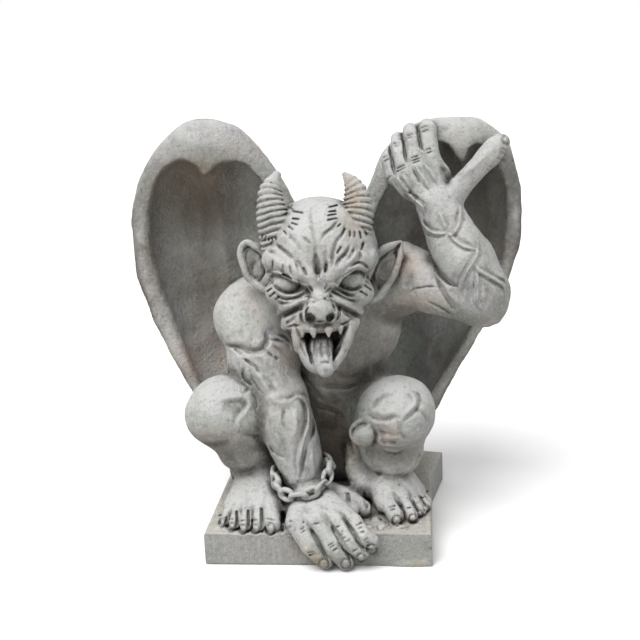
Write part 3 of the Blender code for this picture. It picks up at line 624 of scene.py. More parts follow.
stone.add(ball((-0.184, 0.008, 0.490), (0.104, 0.100, 0.099)), 0.03)
stone.add(ball((-0.150, -0.040, 0.380), (0.092, 0.085, 0.098)), 0.02)
stone.add(limb([(-0.186, 0.0, 0.470), (-0.148, -0.045, 0.370), (-0.100, -0.095, 0.305)],
               [0.080, 0.085, 0.064]), 0.02)
stone.add(limb([(-0.099, -0.100, 0.307), (-0.089, -0.120, 0.245), (-0.068, -0.130, 0.187),
                (-0.044, -0.143, 0.110)], [0.064, 0.074, 0.068, 0.058]), 0.02)
lowered_fingers = []
for knuckle_x, knuckle_z, tip_x, fall, width in (
        (-0.050, 0.030, 0.022, 0.66, 0.0280), (0.003, 0.034, 0.073, 0.70, 0.0270),
        (0.053, 0.034, 0.114, 0.40, 0.0250), (0.096, 0.030, 0.141, 0.06, 0.0230)):
    middle = (0.5 * (knuckle_x + tip_x), PLINTH_EDGE - 0.030, 0.010 + 0.42 * fall * PLINTH_DROP)
    tip = (tip_x, PLINTH_EDGE - 0.026, fall * PLINTH_DROP)
    lowered_fingers.append(([(knuckle_x, PLINTH_EDGE + 0.005, knuckle_z), middle, tip],
                            [width, width * 0.92, width * 0.80]))
add_hand((-0.030, -0.165, 0.072), [((0.010, -0.215, 0.034), (0.095, 0.070, 0.034))], lowered_fingers,
         ([(-0.002, -0.150, 0.050), (0.060, -0.160, 0.040), (0.112, -0.190, 0.024)],
          [0.038, 0.032, 0.024]))

stone.add(limb([sight(356, 452, -0.035), sight(359, 468, -0.068), sight(363, 484, -0.112)],
               [0.030, 0.038, 0.034]), 0.03)
bracelet = smooth_path([sight(275, 473, -0.148), sight(277, 484, -0.188), sight(283, 492.5, -0.222),
                        sight(293, 496.5, -0.242), sight(305, 495.5, -0.246), sight(316, 490.5, -0.238),
                        sight(325, 482, -0.210), sight(329, 470, -0.172), (0.016, -0.112, 0.128),
                        (-0.036, -0.082, 0.124), (-0.094, -0.098, 0.112)], 30, closed=True)
LINKS = 15
LINK_LENGTH = 0.0220
LINK_WIDTH = 0.0120
LINK_WIRE = 0.0070
run = np.linalg.norm(np.diff(bracelet, axis=0, append=bracelet[:1]), axis=1).cumsum()
for number in range(LINKS):
    place = np.searchsorted(run, run[-1] * number / LINKS)
    along = bracelet[(place + 3) % len(bracelet)] - bracelet[place]
    along = along / np.linalg.norm(along)
    out = bracelet[place] - bracelet.mean(axis=0)
    out = out - along * (out @ along)
    out = out / np.linalg.norm(out)
    side = np.cross(along, out)
    lean = np.radians(34 if number % 2 else -22)
    broad = side * np.cos(lean) + out * np.sin(lean)
    around = np.linspace(0.0, 2 * np.pi, 13)[:, None]
    oval = bracelet[place] + LINK_LENGTH * np.cos(around) * along + LINK_WIDTH * np.sin(around) * broad
    stone.add(limb(oval, LINK_WIRE), 0.002)

arm = Sheet((218, 322, 345, 500), (-0.32, -0.27, 0.07), (0.07, 0.00, 0.54))
arm.stroke(0.0135, 3.2, (226, 345), (240, 347.3), (251.4, 351.4), (261.6, 349.6), (266.7, 341.2),
           (265.5, 331))
arm.stroke(-0.0068, 6.0, (238, 325), (246, 336), (252, 341))
arm.strokes(0.0081, 1.4, [(233.6, 348.7), (243.8, 355.8)], [(243.8, 359), (251.4, 362.8)],
            [(246.3, 361.6), (255.3, 366.7), (260.4, 374.4)], [(243.8, 366.7), (243.8, 376.9),
                                                               (252.7, 386.4)],
            [(261.6, 347.6), (268, 353.3), (274.4, 357.7)], [(274, 356.4), (276.6, 358.6), (277, 361)])
arm.strokes(-0.0074, 3.6, [(252, 355), (262, 357), (272, 364), (280, 376), (284, 389)],
            [(236, 353), (240, 364), (243, 373)], [(255, 372), (263, 382), (270, 392)])
arm.strokes(0.0068, 2.4, [(249, 372), (257, 384), (264, 395)], [(262, 374), (270, 385), (275, 394)],
            [(276, 398), (286, 399), (294, 396)])
arm.stroke(-0.0095, 5.0, (268, 396), (280, 402), (291, 402))
arm.strokes(-0.0081, 2.2, [(290, 399.2), (301.4, 397.3), (308.3, 407.6), (308.8, 424), (305, 436.9),
                            (299.9, 458.6), (298.6, 481)], lip=0.75)
arm.strokes(0.0068, 1.7, [(284.6, 406.8), (282.8, 420.8), (287, 431)], [(269.3, 444.5), (274.4, 451),
                                                                        (285.9, 459.6)],
            [(311, 414), (313, 428), (311, 442)], [(306, 444), (303, 460), (302.6, 476)])
arm.strokes(-0.0061, 3.0, [(270, 406), (271, 420), (275, 436), (284, 452)],
            [(295, 409), (297, 424), (293, 440)])
arm.stroke(0.0054, 2.6, (280, 436), (286, 450), (289, 466))
arm.stroke(-0.0054, 2.2, (312, 450), (313, 464), (315, 478))
arm.strokes(0.0061, 1.6, [(268, 339.3), (277, 340.6), (285.9, 343.8), (291, 351.4)],
            [(270, 345), (278, 349), (285, 356)], [(277, 334), (284, 338), (291, 344)])

hand = Sheet((206, 462, 436, 580), (-0.34, -0.37, -0.095), (0.35, 0.02, 0.13), 0.4)
hand.strokes(0.0120, 2.0, [(310.4, 528.8), (315, 537), (321, 547), (327.7, 560.6)],
             [(330.6, 522), (334, 529), (340.2, 538.5), (347.8, 554.8), (350.4, 562)],
             [(344, 518.3), (347, 523.6), (353.6, 532.8), (361.2, 546.2), (366, 554.9)], lip=0.12)
for u, v, size in ((323.9, 563.4, 4.6), (345.9, 563.6, 4.4), (361.2, 557.7, 4.0), (371.3, 549, 4.6)):
    hand.nail(u, v, size)
hand.ticks(0.0050, 1.0, (355.8, 525.3, 361.6, 523), (357.8, 529.2, 362.6, 526.8), (359.8, 533, 364.4, 531.6),
           (363.6, 540.8, 367.4, 538.3), (365.6, 543.1, 369.3, 541.2), (366.6, 545, 370.7, 543.1),
           (340.2, 536, 343.4, 533.6), (342, 538.8, 346, 537.4), (345.5, 542.7, 350.2, 539.2),
           (353.2, 551.3, 357.9, 548.8), (327.2, 546.3, 333, 543), (329.2, 548.3, 334.9, 544.9),
           (314, 524.5, 319.5, 523), (308, 552.2, 315, 552), (309, 555, 315.8, 553.7),
           (300, 530.2, 304.2, 526.8),
           (301, 533.4, 305, 530.6), (336, 527.6, 340, 525.8), (333, 551, 337.6, 548.4))
hand.strokes(-0.0040, 2.6, [(304, 512), (309, 522), (313, 528)], [(322, 508), (331, 518), (337, 527)],
             [(336, 505), (346, 514), (352, 521)])
hand.stroke(0.0090, 1.8, (344.6, 492.6), (348, 495.2), (348.6, 501), (352, 505))
hand.stroke(0.0100, 1.7, (363.6, 490.7), (365.6, 500), (367.4, 512), lip=0.1)
hand.stroke(0.0060, 2.0, (292, 499.5), (304, 500.5), (317, 496.6), (327, 489), lip=0.0)
hand.strokes(0.0110, 1.4, [(226.6, 517.6), (226.8, 528)], [(236.9, 512), (237, 530)],
             [(248.2, 511), (248.4, 532)],
             [(261.6, 509), (262, 532)], [(282.4, 513), (282.6, 531)], lip=0.12, ends=0.7)
for u, v, size, tall in ((270.6, 529.6, 4.6, 5.2), (255.4, 529.4, 4.3, 4.4), (243.4, 529.6, 3.8, 4.4),
                         (232.2, 527.4, 3.2, 4.2), (222.8, 523.4, 2.4, 4.2), (396.8, 520.8, 4.3, 4.9),
                         (412.9, 519, 3.9, 4.2), (419.4, 514.2, 3.0, 3.4), (426, 508.6, 2.6, 3.2)):
    hand.nail(u, v, size, tall)
hand.ticks(0.0045, 1.0, (266.4, 518.8, 275, 520.2), (268, 522.6, 273, 523.4), (252, 520.4, 258, 520.2),
           (240, 521, 246, 520.4), (229, 519.6, 234, 519), (218.6, 515.8, 222.4, 515),
           (388.6, 507.6, 395.6, 505.8), (390, 510.4, 395, 509.2), (406, 508.6, 411, 507.6),
           (416, 503.4, 420.6, 501.6), (420.4, 498.8, 425.4, 496.4), (424, 494, 428, 491))
hand.strokes(0.0090, 1.5, [(401, 504), (402.6, 512), (403.4, 519.4)], [(412.4, 500), (415, 508),
                                                                       (416.6, 516)],
             [(419.6, 495), (422.6, 503), (424, 509.4)], lip=0.12)
hand.strokes(-0.0030, 2.2, [(246, 490), (244, 502), (243, 512)], [(262, 488), (262, 500), (262, 508)],
             [(232, 494), (231, 504), (231, 512)], [(386, 482), (396, 492), (402, 500)],
             [(396, 476), (408, 486), (414, 496)])
hand.pit(0.0100, 379.9, 473.4, 3.6, 2.4)
for u, v, size in ((418.6, 455.2, 2.2), (419.6, 462, 1.2), (422.4, 465.3, 1.0), (345.9, 464.8, 1.4),
                   (423, 482, 1.2), (399, 485, 1.2), (282, 518, 2.0), (287.8, 528.4, 1.6),
                   (290.6, 526.8, 1.2),
                   (291, 521.6, 1.2), (303.4, 522.4, 0.9), (342.4, 531.6, 1.2), (349.6, 481.4, 1.0)):
    hand.pit(0.0060, u, v, size)
hand.pit(-0.0055, 411, 565, 20.0, 9.0)


# The head
# The head is lowered, turned and cocked a little. Its forms are set out on its own axes:
# across the face, out of the face and up, from the middle of the skull.

HEAD_PLACE = (0.016, -0.100, 0.642)
HEAD_TURN = 5.9
HEAD_LIFT = 12.0
HEAD_COCK = -2.3


def turned(angle, first, second):
    """A rotation by an angle in degrees in the plane of two axes."""
    turn = np.eye(3)
    angle = np.radians(angle)
    turn[first, first] = turn[second, second] = np.cos(angle)
    turn[first, second] = -np.sin(angle)
    turn[second, first] = np.sin(angle)
    return turn


HEAD_AXES = (turned(HEAD_TURN, 0, 1) @ turned(-HEAD_LIFT, 1, 2) @ turned(HEAD_COCK, 0, 2)).T


def face(across, out, up):
    """A point of the head, from its own axes to the figure's."""
    return np.asarray(HEAD_PLACE) + np.array([across, -out, up]) @ HEAD_AXES


def face_ball(across, out, up, radii):
    """An ellipsoid on the head, its radii across, out and up."""
    return ball(face(across, out, up), radii, HEAD_AXES)


def face_limb(*rows, steps=4):
    """A smooth limb on the head, from rows of across, out, up and radius."""
    return bent_limb([face(*row[:3]) for row in rows], [row[3] for row in rows], steps)


stone.add(face_ball(0.000, 0.000, 0.045, (0.147, 0.160, 0.140)), 0.03)
stone.add(face_ball(0.000, 0.040, -0.080, (0.100, 0.120, 0.095)), 0.03)
for side in (-1, 1):
    stone.add(face_ball(0.088 * side, 0.078, -0.056, (0.046, 0.050, 0.038)), 0.02)
    stone.add(face_limb((0.116 * side, 0.085, 0.028, 0.028), (0.085 * side, 0.122, 0.014, 0.028),
                        (0.048 * side, 0.148, -0.006, 0.029), (0.018 * side, 0.158, -0.026, 0.021)), 0.016)
    stone.add(face_ball(0.038 * side, 0.132, 0.040, (0.040, 0.026, 0.050)), 0.020)
stone.add(face_ball(0.000, 0.112, -0.105, (0.070, 0.070, 0.046)), 0.025)
stone.add(face_limb((0.0, 0.138, -0.028, 0.013), (0.0, 0.156, -0.050, 0.021),
                    (-0.001, 0.174, -0.078, 0.027)), 0.012)

# The eyes: staring balls in deep sockets under the brow, with thin lids cut round them
for centre, up in ((-0.080, -0.032), (0.077, -0.026)):
    stone.cut(face_ball(centre, 0.136, up - 0.001, (0.043, 0.038, 0.028)), 0.005)
    stone.add(face_ball(centre, 0.092, up, (0.037, 0.037, 0.033)), 0.002)

# The snout: a blunt nose with flared nostrils, and thick folds drawn back over the cheeks
stone.add(face_ball(-0.003, 0.183, -0.100, (0.036, 0.032, 0.030)), 0.010)
for side in (-1, 1):
    stone.add(face_limb((0.026 * side, 0.152, -0.124, 0.026), (0.056 * side, 0.122, -0.124, 0.024),
                        (0.080 * side, 0.088, -0.126, 0.016)), 0.010)
    stone.add(face_ball(0.031 * side - 0.002, 0.172, -0.110, (0.018, 0.022, 0.019)), 0.004)
    stone.add(face_limb((0.032 * side, 0.156, -0.073, 0.008), (0.058 * side, 0.134, -0.078, 0.0105),
                        (0.082 * side, 0.104, -0.090, 0.011), (0.100 * side, 0.070, -0.104, 0.007)), 0.012)
    stone.cut(face_limb((0.036 * side, 0.176, -0.086, 0.005), (0.055 * side, 0.150, -0.097, 0.008),
                        (0.080 * side, 0.118, -0.110, 0.008), (0.102 * side, 0.082, -0.117, 0.004)), 0.008)


def opening(loop, front, back):
    """A hollow with the loop's outline on the sheet, run along the sight between two depths."""
    path = smooth_path(loop, 6, closed=True)
    unit = (front - EYE_PLACE[1]) / SHEET_FOCUS

    def distance(x, y, z):
        u, v = on_sheet(x, y, z)
        return np.maximum(loop_distance(u, v, path) * unit, y - back)

    corners = np.array([sight(u, v, y) for u, v in path for y in (front, back)])
    return distance, corners.min(axis=0), corners.max(axis=0)


for loop in ([(304.6, 317.4), (307.4, 314.4), (311.4, 314.4), (314.8, 317.4), (314.2, 321), (310.4, 322.8),
              (306.2, 321.4)],
             [(326, 317), (328.8, 313.6), (332.8, 313), (336, 315.6), (335.4, 319.2), (331.6, 321.4),
              (327.4, 320.6)]):
    stone.cut(opening(loop, -0.37, -0.292), 0.004)

# The mouth: a lip stretched over small teeth, a narrow jaw, the grooved tongue and two tusks
stone.add(face_limb((-0.085, 0.080, -0.138, 0.009), (-0.065, 0.118, -0.138, 0.012),
                    (-0.040, 0.148, -0.139, 0.013),
                    (-0.018, 0.160, -0.141, 0.013), (0.003, 0.164, -0.141, 0.013),
                    (0.025, 0.160, -0.140, 0.013),
                    (0.047, 0.146, -0.136, 0.013), (0.062, 0.124, -0.130, 0.012),
                    (0.076, 0.084, -0.122, 0.009)),
          0.010)
stone.add(face_ball(0.004, 0.050, -0.190, (0.052, 0.080, 0.050)), 0.02)
jaw = [(297, 329, -0.235, 0.013), (300.5, 338, -0.262, 0.015), (304, 348, -0.281, 0.0165),
       (308, 357, -0.294, 0.017), (313.5, 364.5, -0.303, 0.0165), (321, 367.5, -0.307, 0.016),
       (328.5, 366, -0.305, 0.016), (334.5, 360, -0.298, 0.0165), (338.5, 352.5, -0.288, 0.0165),
       (341.5, 344, -0.276, 0.0155), (345, 335, -0.260, 0.014), (349.5, 324, -0.235, 0.013)]
stone.add(bent_limb([sight(u, v, y) for u, v, y, _ in jaw], [row[3] for row in jaw], 4), 0.008)
stone.add(bent_limb([sight(u, v, y + 0.030) for u, v, y, _ in jaw], 0.019, 4), 0.012)
stone.cut(opening([(297, 332), (303, 332), (312, 333), (321, 334), (331, 333), (341, 331), (347, 328.5),
                   (345.4, 335.6), (341.4, 344), (337.8, 352), (334.4, 359), (329, 364.4), (321, 365.6),
                   (314, 363.8), (309.6, 357), (306.6, 348.6), (303.6, 340.4), (299.6, 335)], -0.33,
                   -0.268), 0.006)
stone.cut(opening([(299, 332), (312, 333), (321, 334), (331, 333), (345, 330), (341.6, 338), (337.4, 346),
                   (333.6, 353), (329, 360), (321, 362), (314, 359), (310.4, 352), (307.6, 344),
                   (303.6, 337)],
                  -0.33, -0.205), 0.004)
stone.cut(limb([sight(287.6, 332.6, -0.320), sight(288.2, 332.6, -0.205)], [0.0112, 0.0095]), 0.003)
stone.add(bent_limb([sight(320.4, 340, -0.205), sight(320.8, 347, -0.262), sight(322, 357, -0.300),
                     sight(325.6, 369.2, -0.326)], [0.030, 0.0310, 0.0270, 0.0190], 5), 0.002)
for u, v, y, radius, length in ((301.8, 329.0, -0.288, 0.0085, 7.0), (313.4, 330.0, -0.303, 0.0100, 6.6),
                                (328.4, 330.0, -0.304, 0.0105, 6.4), (340.4, 327.8, -0.288, 0.0088, 6.4)):
    stone.add(limb([sight(u, v, y), sight(u + 0.4, v + length, y - 0.004)], [radius, 0.0026]), 0.003)
stone.add(bent_limb([sight(299.4, 348, -0.286), sight(296.2, 338, -0.291), sight(293.8, 328, -0.291)],
                    [0.0115, 0.0088, 0.0030]), 0.004)
stone.add(bent_limb([sight(345.6, 346, -0.280), sight(348.8, 335, -0.284), sight(350.6, 322.6, -0.280)],
                    [0.0120, 0.0100, 0.0034]), 0.004)

# The ears: thin-rimmed and cupped, the one beside the raised arm the larger and pointed
for rim, hollow_at, hollow_radii in (
        ([(-0.140, -0.015, 0.034, 0.010), (-0.162, -0.016, 0.056, 0.009), (-0.184, -0.024, 0.070, 0.008),
          (-0.201, -0.028, 0.060, 0.008), (-0.204, -0.028, 0.036, 0.008), (-0.195, -0.024, 0.008, 0.009),
          (-0.178, -0.018, -0.020, 0.010), (-0.154, -0.008, -0.044, 0.011), (-0.126, 0.000, -0.052, 0.009)],
         (-0.170, -0.002, 0.014), (0.024, 0.020, 0.044)),
        ([(0.134, 0.004, 0.026, 0.013), (0.160, -0.008, 0.050, 0.011), (0.186, -0.022, 0.064, 0.008),
          (0.210, -0.036, 0.072, 0.004), (0.207, -0.034, 0.046, 0.008), (0.200, -0.028, 0.014, 0.009),
          (0.180, -0.018, -0.028, 0.011), (0.154, -0.008, -0.064, 0.012), (0.128, 0.000, -0.080, 0.009)],
         (0.166, 0.006, -0.004), (0.027, 0.026, 0.046))):
    middle = np.mean([row[:3] for row in rim], axis=0)
    stone.add(face_ball(middle[0] * 0.985, -0.040, middle[2], (0.036, 0.020, 0.054)), 0.006)
    stone.add(face_limb(*rim), 0.004)
    stone.cut(face_ball(*hollow_at, hollow_radii), 0.004)
stone.add(face_ball(0.198, -0.050, 0.044, (0.020, 0.013, 0.030)), 0.004)

# The horns: short and thick, ringed all the way up, curling towards each other at the tips
HORN_RINGS = 13
RING_DEPTH = 0.21


def ringed_limb(rows, rings, depth):
    """A limb whose radius follows the nearest place on its path, less a groove between rings."""
    path = smooth_path([[*face(*row[:3]), row[3]] for row in rows], 7)
    line = path[:, :3]
    lengths = np.linalg.norm(np.diff(line, axis=0), axis=1)
    starts = np.append(0.0, lengths.cumsum()) / lengths.sum()

    def distance(x, y, z):
        least, along = 9.0, 0.0
        for start, end, first, last in zip(line[:-1], line[1:], starts[:-1], starts[1:]):
            share, gap = nearest((x - start[0], y - start[1], z - start[2]), end - start)
            closer = gap < least
            least = np.where(closer, gap, least)
            along = np.where(closer, first + (last - first) * share, along)
        wobble = 0.25 * np.sin(90.0 * x) + 0.20 * np.sin(140.0 * y + 1.0)
        groove = 1.0 - np.abs(np.sin(np.pi * rings * along + wobble)) ** 0.75
        grooved = 1.0 - depth * groove * np.clip(6 * (1 - along), 0, 1)
        return (least - np.interp(along, starts, path[:, 3]) * grooved).astype(np.float32)

    reach = path[:, 3].max()
    return distance, line.min(axis=0) - reach, line.max(axis=0) + reach


for rows in ([(-0.096, 0.050, 0.060, 0.052), (-0.110, 0.056, 0.108, 0.049), (-0.120, 0.056, 0.148, 0.042),
              (-0.124, 0.054, 0.186, 0.032), (-0.119, 0.050, 0.214, 0.022), (-0.108, 0.046, 0.236, 0.009)],
             [(0.080, 0.054, 0.066, 0.046), (0.088, 0.058, 0.112, 0.044), (0.095, 0.058, 0.154, 0.040),
              (0.090, 0.056, 0.192, 0.032), (0.078, 0.052, 0.218, 0.022), (0.062, 0.048, 0.238, 0.009)]):
    stone.add(ringed_limb(rows, HORN_RINGS, RING_DEPTH), 0.003)


# The plinth
# The base is the foot of the same block, squared with a saw and bush-hammered. Its right
# side steps out towards the back corner, and rough stone is left round the feet.

PLINTH_FLARE = 0.034
PLINTH_FLARE_LENGTH = 0.185
PLINTH_BACK_SKEW = 0.018
PLINTH_EDGE_WEAR = 0.006

half = PLINTH_WIDTH / 2 / FIGURE_HEIGHT
deep = PLINTH_DEPTH / 2 / FIGURE_HEIGHT
corner = deep - PLINTH_BACK_SKEW
plan = np.array([(-half, -deep), (half, -deep), (half, corner - PLINTH_FLARE_LENGTH),
                 (half + PLINTH_FLARE, corner), (half - PLINTH_FLARE, deep), (-half, deep)])


def plinth_form():
    """The plan's distance and the distance above the top or below the foot, the greater."""

    def distance(x, y, z):
        walls = loop_distance(x, y, plan)
        return -blend(-walls, -np.maximum(z, PLINTH_DROP - z), PLINTH_EDGE_WEAR)

    return distance, (-0.37, -0.35, PLINTH_DROP), (0.37, 0.33, 0.0)


stone.add(plinth_form(), 0.006)

# Rough stone left between and before the toes and the fingers
ROUGH_LUMPS = 46
for number in range(ROUGH_LUMPS):
    spot = [stone_draws.uniform((-0.255, -0.262, -0.002), (-0.100, -0.245, 0.002)),
            stone_draws.uniform((0.155, -0.256, -0.002), (0.270, -0.215, 0.003)),
            stone_draws.uniform((0.108, -0.262, -0.002), (0.165, -0.195, 0.004)),
            stone_draws.uniform((-0.098, -0.262, -0.002), (-0.064, -0.225, 0.003))][number % 4]
    stone.add(ball(spot, stone_draws.uniform((0.006, 0.005, 0.003), (0.016, 0.010, 0.007))), 0.006)


# The fine carving
# Wrinkles, veins, creases and nails are cut last with narrow chisels, once every form stands.
# The face is drawn here, and the other parts' sheets stand with the parts.

# The brow and forehead: two heavy lobes that meet over the nose, scored with deep frown lines
head = Sheet((225, 165, 420, 395), (-0.24, -0.45, 0.34), (0.27, 0.00, 0.93))
head.strokes(-0.0060, 5.5, [(266, 262), (275, 261), (285, 266), (296, 273), (307, 277.5)],
             [(366, 255), (356, 256), (345, 264), (335, 272), (326, 276)], lip=0.0)
head.strokes(0.0035, 1.3, [(264, 271.5), (271, 267.5), (279.5, 269.6), (285.7, 275.4), (293, 278.6),
                           (301, 281.6),
                           (309, 283.2), (314.6, 279)],
             [(318.4, 277), (322.4, 281), (328, 282.6), (335, 280.4), (342, 274.4), (350, 266.6),
              (357, 262.6),
              (368, 262.6)], lip=0.0)
head.stroke(0.0045, 1.7, (311.4, 205), (311.4, 223), (314.4, 242), (316.6, 271))
head.stroke(0.0110, 2.6, (315.6, 254), (317, 266), (317.6, 279), lip=0.25)
head.stroke(0.0052, 1.5, (301.9, 236.3), (306, 239.5), (310.9, 244.4))
head.stroke(0.0045, 1.8, (286.5, 230.4), (294.6, 242.2), (305, 254.5))
head.stroke(0.0060, 1.6, (275.4, 243.6), (286, 252), (294.6, 260))
head.stroke(0.0060, 2.6, (294, 259), (302, 268), (308, 276.4), lip=0.2)
head.stroke(0.0045, 2.0, (266, 249), (276, 255), (286, 264))
head.ticks(0.0070, 1.3, (273.3, 260.5, 273.3, 267.6), (283, 264.5, 284.3, 276), (296, 264, 299.6, 273.6),
           (289.6, 266, 291.4, 274), (303.4, 268, 306, 276))
head.stroke(0.0062, 1.6, (338.6, 218.7), (332.7, 227.5), (323.9, 234.8), (320.6, 243.6))
head.stroke(0.0066, 1.7, (344.4, 225.1), (343, 232.4), (335.6, 243.2), (332.7, 253.9), (331.2, 269.6))
head.stroke(0.0078, 1.8, (350.3, 244.1), (345.4, 253.9), (338.6, 261.2), (334.5, 273))
head.ticks(0.0040, 0.8, (343, 254, 347, 257), (341.4, 257, 345, 260), (339.4, 260, 342.6, 263))
head.stroke(0.0070, 2.2, (361, 250), (358.6, 259), (350, 267), lip=0.2)
head.stroke(0.0060, 1.6, (354, 247), (351, 255), (344, 263), lip=0.2)
head.stroke(0.0040, 1.6, (326, 246), (325.6, 257), (326.4, 268))
head.ticks(0.0080, 1.4, (326.6, 264.4, 325.4, 273), (341, 247, 336.6, 254), (363, 243, 361.4, 250))
head.ticks(0.0070, 1.0, (286.6, 207, 293.6, 210), (292, 211.3, 303.4, 213.4), (292.5, 218.7, 299.4, 219.4),
           (291.6, 223, 298, 225.2), (288.5, 226.5, 293.4, 230.2), (290.4, 207.6, 292.6, 204),
           (263.4, 233.5, 262, 238.4),
           (266.4, 235.4, 265.2, 240.4), (269.4, 237, 268.8, 241.8), (272.4, 237.5, 272.4, 242.2),
           (275.6, 236.5, 276.4, 240.4), (284, 231, 287, 235))
head.ticks(0.0070, 1.0, (328.3, 207.7, 338.2, 205.3), (328.3, 212, 336, 211.3), (327.2, 215.8, 336, 214.2),
           (327, 220.4, 336.8, 218.5), (349.6, 231.3, 349.6, 237), (354.4, 231.6, 354.4, 238),
           (359.4, 231.5, 360.8, 239), (364.5, 230, 366.2, 235), (345, 228.6, 342.6, 233.6),
           (340.4, 224, 337, 227.6))

# The eyes and the thin lids round them, a fold over each and crow's feet at the outer corners
for loop, ball_at in (([(271.6, 280.4), (274.6, 275.6), (280, 275.4), (287, 278.8), (294, 282.6), (303, 287),
                        (299, 291.4), (292, 293.6), (285, 293), (278.6, 290), (274, 286)],
                        (286.0, 284.6, 13.4, 9.4)),
                      ([(334, 281.8), (341, 277), (347.4, 272.8), (354.6, 270), (361.4, 270.8), (364, 276),
                        (362, 283.4), (357, 287.8), (350.4, 289.4), (343, 287.2)],
                        (351.8, 279.8, 12.4, 9.2))):
    head.patch(0.0060, *loop, soft=1.3)
    head.dome(0.0080, *ball_at)
head.strokes(0.0050, 1.1, [(273.4, 277.4), (280, 276), (287, 279.2), (294, 283), (303, 287.4)],
             [(334.4, 281.4), (341, 276.8), (347.4, 272.8), (354.6, 270.2), (361.4, 271.4)], lip=0.0)
head.strokes(-0.0036, 1.6, [(266.6, 279.6), (270, 275.4), (274.4, 272.8), (279.4, 273.4), (287, 276.6)],
             [(345.6, 271.4), (350.4, 268.4), (357, 266.8), (362.6, 268.2), (367.4, 272.4)], lip=0.5)
head.strokes(-0.0036, 1.5, [(271.4, 283.6), (275, 289.6), (280.6, 294), (289, 296), (299.6, 293.2),
                            (306, 289)],
             [(335, 284.2), (342.6, 289), (350.6, 292), (358, 290.8), (363.4, 286), (365.4, 279)], lip=0.5)
head.strokes(0.0048, 1.3, [(273, 292), (279, 297), (288, 299.4), (298, 297.4), (307, 292.4)],
             [(333, 286.6), (340, 291.6), (348.6, 295.4), (358, 296)], lip=0.3)
head.strokes(0.0040, 1.4, [(274, 298), (282, 303), (291, 302.4), (300, 298.6), (307.4, 296)],
             [(330, 290), (338, 295), (347, 299.4), (357, 302)], lip=0.4)
head.ticks(0.0065, 1.1, (266, 287, 271.6, 282.8), (267, 292, 272.2, 288.2), (270, 296.6, 275.6, 292),
           (275.8, 299.4, 280, 295.8), (366.4, 277.2, 372, 281.2), (365.6, 281.2, 371.8, 285),
           (363.6, 284.8, 371, 290.4), (359.6, 290.8, 367, 295.4))
head.strokes(0.0060, 1.1, [(266, 274.4), (271, 270), (278, 269.8)], [(353.5, 264.6), (359, 262.6),
                                                                     (365.4, 265.4), (369, 270.4)])
head.ticks(0.0030, 1.2, (309.5, 285.5, 313, 291.4), (306.6, 289.8, 312.8, 295.2), (327, 284, 324.3, 289.4),
           (330.4, 288, 323.6, 293.9), (309, 296.4, 316.4, 299.7), (330.6, 296.2, 323.1, 299.3),
           (312.6, 302.8, 319.4, 299.8), (331, 301.2, 323.6, 299.3))
head.stroke(0.0022, 0.8, (347.4, 281.5), (349.6, 277.6), (355.6, 277.6), (357.6, 281.5), (355.6, 285.2),
            (349.8, 285.2),
            (347.4, 281.5), ends=1.0)
head.pit(0.0050, 352.7, 281.4, 1.7)

# The nose and cheeks
for u, v in ((309.8, 318.8), (331.2, 317.2)):
    head.pit(0.0045, u, v, 3.6, 2.8)
head.strokes(0.0050, 1.4, [(304.6, 304.6), (302, 309), (301.2, 315), (303, 321), (307, 324.6)],
             [(335.6, 303), (338.4, 308), (338.6, 314), (336.6, 319.6), (333, 323)], lip=0.3)
head.strokes(0.0040, 1.2, [(309, 306), (306.6, 311), (306.4, 315)], [(331.6, 304.6), (334.4, 309.4),
                                                                     (334.8, 313)],
             [(314.6, 323), (320.4, 321), (326.4, 322)])
head.strokes(-0.0035, 2.0, [(304, 315), (306, 321), (311, 324)], [(336, 312), (335, 318.6), (330.6, 322.6)])
head.strokes(0.0075, 2.2, [(304.6, 303.8), (299.6, 307.6), (292, 312.2), (284, 315.8), (277.6, 317.4)],
             [(333.4, 302.8), (340, 306.8), (348.2, 311.4), (355, 315), (361, 317)], lip=0.2)
head.strokes(-0.0030, 2.6, [(303.6, 299.4), (293, 303.4), (284, 308), (277.6, 311)],
             [(331.4, 299), (340, 301.4), (350, 306), (360.4, 311.8)], lip=0.0)
head.strokes(0.0050, 1.8, [(297.5, 315.4), (291, 320.6), (285, 325)], [(343.5, 313.5), (350.5, 318),
                                                                       (356.4, 321.6)])
head.strokes(0.0050, 1.2, [(286, 327.2), (294, 325.6), (302, 325.6)], [(338, 326.2), (346, 323),
                                                                       (352, 318.8)])

# The tongue's grooves and the inside of the jaw
head.strokes(0.0055, 1.3, [(315.5, 338), (314.6, 349), (315.4, 361)], [(321.4, 340), (321.2, 350),
                                                                       (322.6, 363)],
             [(327, 339), (328.2, 350), (329.6, 361)])
head.stroke(0.0080, 1.7, (311, 352), (311.6, 359), (313, 365.5), lip=0.1)
head.strokes(0.0040, 1.2, [(334.8, 342), (334.4, 353), (333, 362)], [(300, 342), (303, 352), (307.4, 361)])
head.stroke(0.0050, 1.1, (319.4, 364.4), (324, 362.2), (330.4, 363.6))

# The ears' hollows
head.patch(0.0085, (247, 250), (252.4, 251.6), (256.6, 258), (258, 268), (257, 279), (252.4, 277),
           (248.4, 268),
           (245.4, 258), soft=1.0)
head.patch(0.0060, (254.6, 262), (258, 266), (258, 280), (254.4, 279), (252.6, 270), soft=1.0)
head.patch(0.0085, (396.6, 250.4), (396.4, 258), (391.4, 271), (384.6, 284), (378.6, 291), (376.8, 281),
           (378.4, 270), (383.6, 261), (390.6, 255), soft=1.0)
head.stroke(0.0050, 1.4, (392, 254), (388, 266), (383, 277), lip=0.5)


FACING_RUN = 0.25
CARVE_REACH = 0.024


